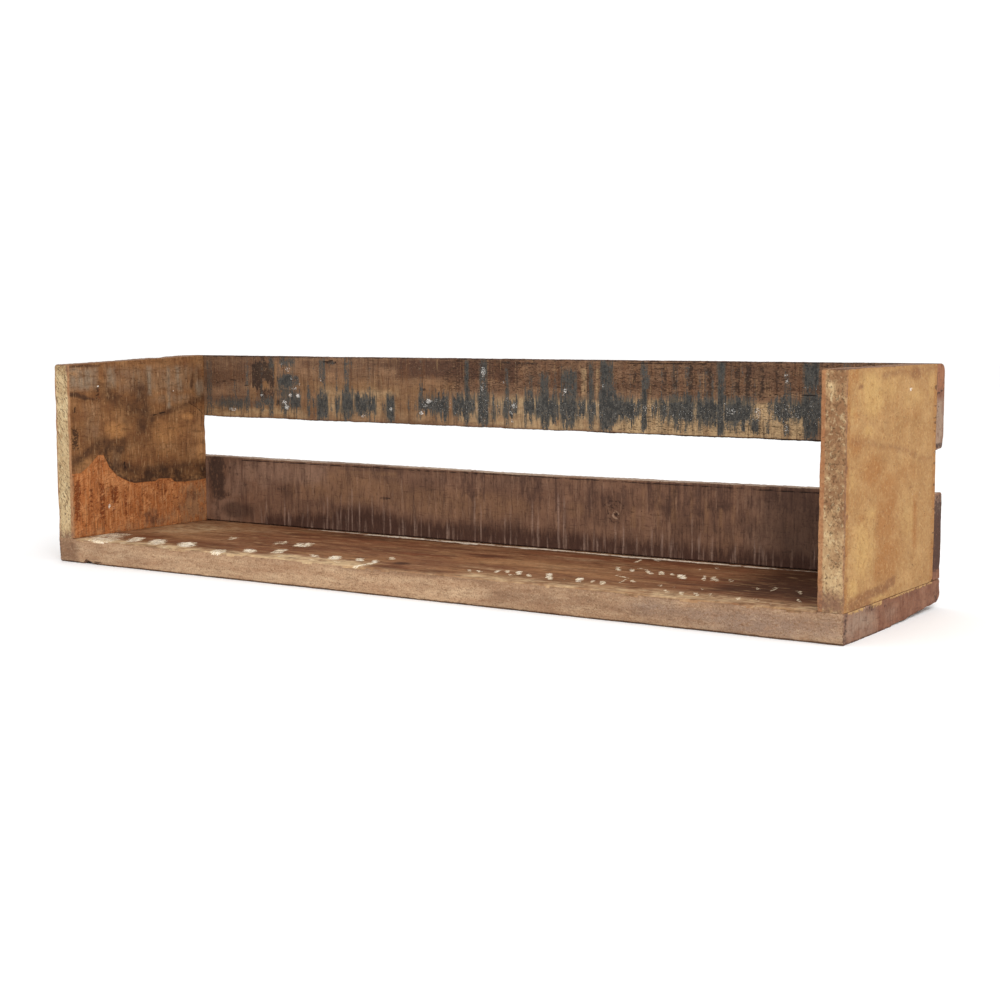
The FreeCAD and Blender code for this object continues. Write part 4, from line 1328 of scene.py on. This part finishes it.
# What is laid on the base's top, on its front edge and on its right end
BASE_TOP_MARKS = {
    "dab": [dab(*ends) for ends in DABS],
    "tan": [
        bar(-380, -240, -210, -180, 0.8, 12), bar(-250, -120, -210, -180, 0.7, 12),
        bar(-150, -30, -210, -174, 1.0, 12), bar(-30, 60, -210, -192, 0.5, 12),
        bar(60, 240, -210, -172, 0.6, 16), bar(230, 400, -210, -168, 0.65, 14),
        blot(100, -110, 60, 22, 0.3, 1.4), blot(-270, -55, 40, 18, 0.4, 1.4),
        blot(-335, -75, 60, 60, 0.5, 1.4), blot(100, -62, 50, 14, 0.35, 1.4),
        blot(60, -150, 60, 10, 0.4, 1.4),
    ],
    "golden": [
        blot(-300, -130, 40, 20, 0.7, 1.4), blot(60, -106, 90, 24, 0.9, 1.4),
        blot(150, -135, 70, 14, 0.8, 1.4), blot(-70, -155, 60, 16, 0.7, 1.4),
        blot(-340, -80, 60, 60, 1.0, 1.2), blot(210, -60, 40, 8, 0.5, 1.4),
        bar(20, 240, -200, -150, 0.5, 16),
    ],
    "reddish": [
        blot(-150, -60, 110, 26, 0.55, 1.4), blot(150, -46, 120, 12, 0.8, 1.4),
        blot(20, -88, 26, 12, 1.0, 1.2), blot(-230, -92, 60, 26, 0.45, 1.4),
        blot(-30, -110, 60, 12, 0.7, 1.4), blot(240, -120, 50, 18, 0.7, 1.4),
        blot(-330, -150, 24, 12, 0.6, 1.4), blot(-330, -60, 50, 34, 0.45, 1.4),
        blot(-180, -165, 50, 8, 0.6, 1.4),
    ],
    "front_wood": [bar(-402, 402, -206, -197, 0.5, 2.5)],
    "dark_stain": [
        blot(20, -86, 28, 9, 0.6, 1.2), blot(-6, -104, 18, 7, 0.5, 1.2), blot(-45, -60, 40, 12, 0.4, 1.4),
        blot(-60, -102, 44, 16, 0.45, 1.4), blot(235, -130, 50, 14, 0.45, 1.4),
        blot(-225, -62, 22, 8, 0.5, 1.4), blot(-150, -45, 50, 12, 0.6, 1.4),
        blot(-14, -166, 10, 8, 0.9, 1.2), blot(36, -188, 20, 9, 0.5, 1.4),
        blot(-10, -192, 26, 9, 0.45, 1.4), bar(-260, 290, -34, -28, 0.75, 3),
        # The bar from 270 to 400 along X and the last blot are painted shade at the right end, beside the
        # right side
        blot(180, -75, 60, 7, 0.35, 1.4), bar(270, 400, -160, -17, 1.0, 30),
        blot(340, -40, 60, 40, 1.0, 1.4),
    ],
    "rear_line": [
        bar(-165, -30, -27, -19, 0.9, 2), bar(-30, 14, -26, -20, 0.8, 2), bar(14, 270, -26, -19, 0.9, 2),
        blot(-40, -28, 10, 4, 0.7), blot(25, -27, 12, 4, 0.7), blot(130, -28, 10, 4, 0.6),
        bar(-240, -165, -24, -17, 0.6, 2), bar(270, 340, -24, -18, 0.6, 2), blot(160, -27, 5, 5, 0.7),
    ],
}
BASE_FRONT_MARKS = {
    "brown_edge": [
        bar(-402, -374, -160, -134, 0.95, 8), bar(-376, -290, -160, -134, 0.45, 16),
        bar(100, 402, -160, -134, 0.95, 40), bar(280, 402, -160, -134, 0.5, 8),
        blot(30, -145, 14, 6, 0.35, 1.4), bar(-60, 402, -139, -130, 0.75, 20, 2.5),
        bar(-402, -60, -138, -130, 0.5, 10, 2),
    ],
    "grey_end": [
        blot(330, -148, 70, 10, 0.9, 1.4), blot(250, -144, 26, 7, 0.8, 1.4),
        blot(390, -146, 16, 10, 0.7, 1.4), blot(-290, -149, 26, 5, 0.3, 1.4),
    ],
    "foot_line": [
        bar(-402, 402, -159, -156.4, 0.9, 0.9), bar(-402, -397, -158, -136, 0.6, 1.5),
        stroke([(-340, -138), (-200, -138.5), (-60, -138)], 1.4, 0.4), blot(-348, -155.5, 6, 1.4, 0.7),
        blot(-383, -143, 1.6, 1.4, 0.8), blot(-363, -143.5, 1.4, 1.4, 0.7),
        stroke([(-318, -146), (-311, -141)], 1.2, 0.6), stroke([(52, -136.6), (66, -136.8)], 1.2, 0.6),
    ],
}
BASE_END_MARKS = {
    "golden_lip": [
        bar(-192, -160, -137.4, -133, 0.8, 1.6), bar(-150, -126, -138.4, -133, 0.9, 1.6),
        bar(-112, -18, -136.8, -133, 0.8, 1.4),
    ],
    "grey_end": [bar(-202, -140, -160, -132, 0.85, 16), blot(-110, -146, 20, 8, 0.4, 1.4)],
    "foot_line": [
        bar(-202, 2, -159, -156.4, 0.7, 1.2), bar(-202, -192, -158, -134, 0.6, 4),
        blot(-150, -138, 12, 3, 0.6, 1.4), blot(-118, -139, 8, 5, 0.5, 1.4),
        blot(-8, -150, 9, 12, 0.5, 1.4),
    ],
}


def board_top():
    """Oiled reclaimed teak: red-brown streaks along it, a rubbed tan front and old white dabs in rows."""
    ground = ("#65402b", "#764d34", "#886044")
    wood = Finish("oiled_teak_with_white_dabs", (90, 16, 9), ground, 131, stops=(0.32, 0.5, 0.68))
    wood.lay("#956b48", (50, 18, 9), 0.1, 0.95, 0.8, "golden", 1.6)
    wood.lay("#6b3c26", (50, 14, 9), 0.1, 0.95, 0.85, "reddish", 1.6)
    wood.lay("#c6a983", (30, 14, 9), 0.15, 1.0, 0.92, "tan", 1.8, fray=(9, 6, 9))
    wood.lay("#5a331e", (60, 11, 9), 0.5, 0.7, 0.48)
    wood.lay("#a07b55", (46, 9, 9), 0.52, 0.7, 0.42)
    # Stains, and painted shade at the top's right end beside the right side
    wood.lay("#40271b", (30, 14, 9), 0.1, 0.9, 0.9, "dark_stain", 1.6)
    wood.lay("#9c7858", (24, 4, 5), 0.2, 0.9, 0.7, "front_wood", 1.6)
    wood.lay("#3d2416", (22, 4, 9), 0.54, 0.68, 0.5, depth=-0.12)
    wood.lay("#b38f68", (24, 4, 9), 0.56, 0.7, 0.42)
    wood.lay("#4c2d1d", (9, 9, 9), 0.54, 0.7, 0.4)
    wood.lay("#dccdb9", (10, 3, 9), 0.35, 0.85, 0.92, "rear_line", 2.2, fray=(3, 3, 3))
    wood.lay("#ddcbad", (1.6, 9, 3), 0.62, 0.86, 0.92, "dab", 4.4, 0.1, 0.65,
             fray=(1.4, 5, 2), turn=(0, 0, 8))
    wood.lay("#f3eadb", (1.3, 6, 3), 0.95, 1.3, 0.8, "dab", 3.8, turn=(0, 0, 8))
    wood.lay("#2e1d14", (3, 3, 9), 0.6, 0.72, 0.4, depth=-0.1)
    wood.vary((2.4, 4, 2), 0.16)
    wood.vary((30, 16, 12), 0.1)
    return wood.done(0.72, 0.06)


def board_front():
    """The base's sawn front edge: pale peach wood with dark pores, browner towards both ends and along its
    upper arris.
    """
    ground = ("#ab8566", "#be9b7a", "#ceae8c")
    wood = Finish("sawn_peach_edge", (50, 9, 7), ground, 161, light=1.2)
    wood.lay("#7e5c46", (24, 9, 8), 0.1, 0.95, 0.85, "brown_edge", 1.5)
    wood.lay("#947b6a", (24, 9, 6), 0.1, 0.95, 0.75, "grey_end", 1.5)
    wood.lay("#946e52", (9, 9, 4), 0.5, 0.7, 0.45)
    wood.lay("#dcc09c", (2.2, 9, 1.3), 0.52, 0.72, 0.26, bend=0.6)
    wood.lay("#85603f", (1.3, 3, 1.0), 0.52, 0.66, 0.6, depth=-0.12, bend=0.6)
    wood.lay("#6b4632", (10, 5, 1.2), 0.58, 0.7, 0.4, depth=-0.1)
    wood.lay("#553826", (1.1, 3, 0.9), 0.62, 0.72, 0.45, depth=-0.15)
    wood.lay("#49301f", (9, 3, 1.4), 0.35, 0.7, 0.85, "foot_line", 1.8, -0.1)
    wood.vary((1.2, 2, 1.2), 0.2)
    wood.vary((12, 9, 12), 0.08)
    return wood.done(0.76, 0.15)


def end_grain():
    """Sawn end grain: red-brown, with the saw's upright marks and fine dark checks across the rings."""
    ground = ("#754b36", "#875a43", "#956a51")
    wood = Finish("sawn_end_grain", (9, 16, 12), ground, 191, light=1.2)
    wood.lay("#a58d78", (9, 14, 12), 0.1, 0.95, 0.8, "grey_end", 1.5)
    wood.lay("#a06a48", (9, 6, 5), 0.1, 0.95, 0.8, "rusty_end", 1.5)
    wood.lay("#c39a62", (9, 5, 2.4), 0.4, 0.6, 0.9, "golden_lip", 2.4, 0.2, fray=(2, 2.4, 1.6))
    wood.lay("#774a36", (9, 4, 22), 0.5, 0.7, 0.5)
    wood.lay("#ab8770", (9, 2.2, 14), 0.54, 0.7, 0.42)
    wood.lay("#6a4332", (9, 8, 6), 0.5, 0.7, 0.5)
    wood.lay("#54352a", (9, 1.6, 4), 0.56, 0.7, 0.45, depth=-0.12)
    wood.lay("#5a3b2c", (3, 9, 1.4), 0.57, 0.7, 0.4, depth=-0.2)
    wood.lay("#412a22", (3, 4, 3), 0.3, 0.75, 0.85, "foot_line", 1.8, fray=(2, 2, 2))
    wood.vary((2, 1.6, 2), 0.12)
    return wood.done(0.82)


def side_edge(name, ground, dark, seed, pores, open_share, turn):
    """A side's sawn front edge: pale wood, open pores of its own kind, and a rubbed arris on each side."""
    wood = Finish(name, (7, 9, 16), ground, seed, light=1.2)
    wood.lay(dark, (7, 5, 9), 0.1, 0.95, 0.85, "edge_stain", 2.0, fray=(3, 3, 3))
    wood.lay(dark, (4, 5, 5), 0.5, 0.7, 0.5)
    wood.lay("#e2cfa4", (3, 5, 4), 0.54, 0.7, 0.65 * open_share)
    wood.lay("#4d3723", pores, 0.54, 0.64, open_share, depth=-0.15, turn=turn)
    wood.lay("#a06a45", (4, 4, 14), 0.2, 0.8, 0.75, "rubbed_arris", 1.6)
    wood.lay("#4e3426", (2, 3, 2.4), 0.6, 0.72, 0.6, depth=-0.15)
    wood.lay("#7c5947", (4, 4, 8), 0.2, 0.8, 0.8, "foot_grime", 1.8, fray=(2, 2, 2))
    wood.vary((2, 2, 2.4), 0.16)
    return wood.done(0.76, 0.15)


def plain_board(name, grain, ground, dark, pale, seed, light=1.0, rough=0.74):
    """A face out of the photograph's sight: the same board's ground, streaks along it and the saw's marks."""
    wood = Finish(name, turned(grain, 70, 8), ground, seed, light)
    across = Z if grain != Z else Y
    wood.lay(dark, turned(grain, 60, 12), 0.5, 0.68, 0.6)
    wood.lay(pale, turned(grain, 40, 5), 0.56, 0.7, 0.4)
    wood.lay(dark, turned(across, 34, 3.2), 0.55, 0.68, 0.35, depth=-0.12)
    wood.lay(dark, turned(grain, 18, 1.2), 0.58, 0.68, 0.5, depth=-0.12)
    wood.lay("#241812", turned(grain, 9, 1.6), 0.66, 0.72, 0.6, depth=-0.2)
    return wood.done(rough)


def side_top():
    """A side's upper edge, rubbed and browned by hands."""
    ground = ("#855737", "#9b6d48", "#b2865c")
    return plain_board("handled_mango_top", Y, ground, "#5c3c28", "#c39b72", 361, light=1.6)


def dress(piece, finish_of, materials):
    """Gives the piece its materials, and each face the one that finish_of picks from its normal."""
    piece.data.materials.clear()
    for material in materials:
        piece.data.materials.append(material)
    for face in piece.data.polygons:
        face.material_index = finish_of(face.normal)


def on_base(normal):
    """0 is its top, 1 its front edge, 2 its ends, and 3 its underside and rear edge."""
    if abs(normal.x) > 0.75:
        return 2
    if normal.z > 0.6:
        return 0
    return 1 if normal.y < -0.6 else 3


def on_side(normal):
    """0 is its right face, 1 its front and rear edges, 2 its left face, and 3 its top."""
    if abs(normal.x) > 0.6:
        return 0 if normal.x > 0 else 2
    return 3 if normal.z > 0.75 else 1


def on_slat(normal):
    """0 is its front, 1 its back, 2 its long edges, and 3 its ends."""
    if abs(normal.x) > 0.75:
        return 3
    if abs(normal.y) > 0.6:
        return 0 if normal.y < 0 else 1
    return 2


def finish_piece(piece, node):
    """Smooths the piece but for its sharp edges, and lets it stand for its node."""
    bpy.ops.object.select_all(action="DESELECT")
    bpy.context.view_layer.objects.active = piece
    piece.select_set(True)
    bpy.ops.object.shade_smooth_by_angle(angle=math.radians(40))
    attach(piece, "root")
    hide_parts(node)


def build_base(ends):
    base = make_base()
    mark_face(base, Z, BASE_TOP_Z, BASE_TOP_MARKS)
    mark_face(base, Y, BASE_FRONT_Y, BASE_FRONT_MARKS)
    mark_face(base, X, END_X, BASE_END_MARKS)
    ground = ("#6f5038", "#80604a", "#967455")
    under = plain_board("rough_sawn_underside", X, ground, "#4c3526", "#a98a68", 221, rough=0.82)
    dress(base, on_base, [board_top(), board_front(), ends, under])
    finish_piece(base, "base_board")


def build_left_side(top):
    side = make_side("left_side_board", LEFT_SIDE_SLOPE, SIDE_FOOT_ROUND, 23)
    mark_face(side, X, -SIDE_INNER_X, LEFT_SIDE_MARKS)
    mark_face(side, Y, BASE_FRONT_Y, LEFT_EDGE_MARKS)
    ground = ("#b09168", "#c6aa80", "#d6bd92")
    edge = side_edge("sawn_pale_edge", ground, "#97764f", 241, (0.9, 3, 3.2), 0.82, (0, 36, 0))
    ground = ("#8a6240", "#a27a52", "#b58f63")
    outer = plain_board("weathered_mango_outside", Z, ground, "#6f4a31", "#c6a070", 261, light=1.2)
    dress(side, on_side, [stained_side(), edge, outer, top])
    finish_piece(side, "left_side_board")


def build_right_side(top):
    side = make_side("right_side_board", 0, RIGHT_REAR_FOOT_ROUND, 37)
    mark_face(side, X, END_X, RIGHT_SIDE_MARKS)
    mark_face(side, Y, BASE_FRONT_Y, RIGHT_EDGE_MARKS)
    ground = ("#9c7956", "#b3926a", "#c9ab80")
    edge = side_edge("sawn_mottled_edge", ground, "#80593c", 281, (1.5, 3, 1.8), 0.58, None)
    ground = ("#6b4a33", "#7d583b", "#93704c")
    inner = plain_board("weathered_mango_inside", Z, ground, "#4f3424", "#a5805a", 301, light=0.8)
    dress(side, on_side, [golden_side(), edge, inner, top])
    finish_piece(side, "right_side_board")


def build_slats(ends):
    upper = make_slat("upper_back_slat", UPPER_SLAT_REAR_UPPER_ROUND, UPPER_SLAT_REAR_LOWER_ROUND, 51)
    warp_edges(upper, UPPER_SLAT_TOP_SHIFT, UPPER_SLAT_FOOT_SHIFT)
    lower = make_slat("lower_back_slat", LOWER_SLAT_REAR_ROUND, SLAT_FRONT_ROUND, 67)
    warp_edges(lower, LOWER_SLAT_TOP_SHIFT, NO_SHIFT)
    recess_nails(upper, ("upper_slat_left_nails", "upper_slat_right_nails"))
    rout_hangers(upper)
    recess_nails(lower, ("lower_slat_left_nails", "lower_slat_right_nails"))
    mark_face(upper, Y, SLAT_FRONT_Y, UPPER_SLAT_MARKS)
    mark_face(upper, X, END_X, UPPER_END_MARKS)
    mark_face(lower, Y, SLAT_FRONT_Y, LOWER_SLAT_MARKS)
    mark_face(lower, X, END_X, LOWER_END_MARKS)
    ground = ("#7d5f45", "#937456", "#a88a68")
    back = plain_board("rough_slat_back", X, ground, "#5b4130", "#b99c78", 321, rough=0.82)
    ground = ("#4d342a", "#5f4335", "#735444")
    dark_edges = plain_board("worn_dark_slat_edge", X, ground, "#38251c", "#8c6c54", 341, light=1.1)
    ground = ("#8a705c", "#a48b76", "#bda790")
    pale_edges = plain_board("worn_pale_slat_edge", X, ground, "#65493a", "#c9b49c", 347, light=1.1)
    dress(upper, on_slat, [painted_hardwood(), back, dark_edges, ends])
    finish_piece(upper, "upper_back_slat")
    dress(lower, on_slat, [weathered_hardwood(), back, pale_edges, ends])
    finish_piece(lower, "lower_back_slat")


def zinc_plate():
    """Stamped steel with bright zinc on it: brushed lines, a dull bloom and small dark pits."""
    ground = ("#a7abae", "#b6babc", "#c6c9ca")
    metal = Finish("stamped_zinc_plate", (5, 5, 9), ground, 401)
    metal.lay("#8b9093", (0.7, 9, 18), 0.5, 0.7, 0.5, depth=-0.02, rough=0.5)
    metal.lay("#d6d8d6", (6, 6, 5), 0.5, 0.7, 0.6, rough=0.7, bend=0.8)
    metal.lay("#5e6163", (1, 1, 1), 0.64, 0.72, 0.7, depth=-0.03, rough=0.6)
    return metal.done(0.36, 0.5, 1.0)


def zinc_screw():
    """Turned steel with yellowish zinc: soft mottling, worn bright, and grime that stayed in the cross."""
    ground = ("#a49a7a", "#b8ad8b", "#cbc2a2")
    metal = Finish("yellow_zinc_screw", (2.4, 2.4, 2.4), ground, 421)
    metal.lay("#dcd8c6", (1.6, 1.6, 1.6), 0.54, 0.7, 0.6, rough=0.3)
    metal.lay("#6d6046", (0.9, 0.9, 0.9), 0.6, 0.7, 0.6, depth=-0.02, rough=0.6)
    return metal.done(0.38, 0.5, 1.0)


def steel_nail():
    """A cut nail of bare steel: dark scale, rubbed edges and rust that has begun in spots."""
    ground = ("#57534f", "#6a6561", "#7e7975")
    metal = Finish("scaled_steel_nail", (3, 3, 3), ground, 441)
    metal.lay("#a5a09a", (0.8, 0.8, 0.8), 0.6, 0.7, 0.5, rough=0.4)
    metal.lay("#6e4228", (1.4, 1.4, 1.4), 0.5, 0.62, 0.8, depth=0.03, rough=0.85)
    return metal.done(0.5, 0.5, 1.0)


def dress_metal():
    """The nails and the hangers are shown as constructed, in finishes of their own."""
    finishes = {"_nails": steel_nail(), "_keyhole_hanger": zinc_plate()}
    for name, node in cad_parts.items():
        for ending, finish in finishes.items():
            if name.endswith(ending):
                for place in node.material_slots:
                    place.material = finish


def build_screws():
    finish = zinc_screw()
    base_screw = make_screw(BASE_SCREW_HEAD, BASE_SCREW_SHANK, BASE_SCREW_LENGTH)
    for node in BASE_SCREW_NODES:
        drive_screws(base_screw, node, base_screw_places(node), Matrix.Identity(4), finish)
    hanger_screw = make_screw(HANGER_SCREW_HEAD, HANGER_SCREW_SHANK, HANGER_SCREW_LENGTH)
    forward = Matrix.Rotation(math.radians(90), 4, "X")
    for node in HANGER_SCREW_NODES:
        drive_screws(hanger_screw, node, in_line(node, Z, HANGER_SCREW_HEAD), forward, finish)
    bpy.data.objects.remove(base_screw)
    bpy.data.objects.remove(hanger_screw)


sawn_ends = end_grain()
handled_top = side_top()
build_base(sawn_ends)
build_left_side(handled_top)
build_right_side(handled_top)
build_slats(sawn_ends)
build_screws()
dress_metal()


# The room


def lay_floor():
    """A pale floor under the shelf."""
    bpy.ops.object.select_all(action="DESELECT")
    bpy.ops.mesh.primitive_plane_add(size=FLOOR_SIZE, location=(0, 0, cad_box[0].z))
    floor = bpy.context.object
    floor.name = "pale_floor"
    material = bpy.data.materials.new("matt_white_floor")
    material.use_nodes = True
    shader = material.node_tree.nodes["Principled BSDF"]
    shader.inputs["Base Color"].default_value = (FLOOR_WHITE, FLOOR_WHITE, FLOOR_WHITE, 1)
    shader.inputs["Roughness"].default_value = 0.9
    floor.data.materials.append(material)


def hang_softbox():
    """A square softbox to the right of the camera, above the shelf."""
    bpy.ops.object.select_all(action="DESELECT")
    bpy.ops.object.light_add(type="AREA", location=SOFTBOX_PLACE)
    box = bpy.context.object
    box.name = "key_softbox"
    box.data.shape = "SQUARE"
    box.data.size = SOFTBOX_SIZE
    box.data.energy = SOFTBOX_WATTS
    box.rotation_euler = (SOFTBOX_AIM - SOFTBOX_PLACE).to_track_quat("-Z", "Y").to_euler()


def light_room():
    world = bpy.data.worlds.new("white_room")
    bpy.context.scene.world = world
    world.use_nodes = True
    background = world.node_tree.nodes["Background"]
    background.inputs["Color"].default_value = (1, 1, 1, 1)
    background.inputs["Strength"].default_value = ROOM_BRIGHTNESS
    hang_softbox()


def set_camera():
    camera_data = bpy.data.cameras.new("camera")
    camera = bpy.data.objects.new("camera", camera_data)
    bpy.context.scene.collection.objects.link(camera)
    turn = Matrix.Rotation(math.radians(CAMERA_TURN), 4, "Z")
    tip = Matrix.Rotation(math.radians(90 + CAMERA_TIP), 4, "X")
    roll = Matrix.Rotation(math.radians(CAMERA_ROLL), 4, "Z")
    camera.matrix_world = Matrix.Translation(CAMERA_PLACE) @ turn @ tip @ roll
    camera_data.sensor_width = CAMERA_SENSOR
    camera_data.lens = CAMERA_LENS
    camera_data.clip_start = 0.05
    camera_data.clip_end = 50
    bpy.context.scene.camera = camera
    bpy.context.scene.view_settings.view_transform = "Standard"


lay_floor()
light_room()
set_camera()
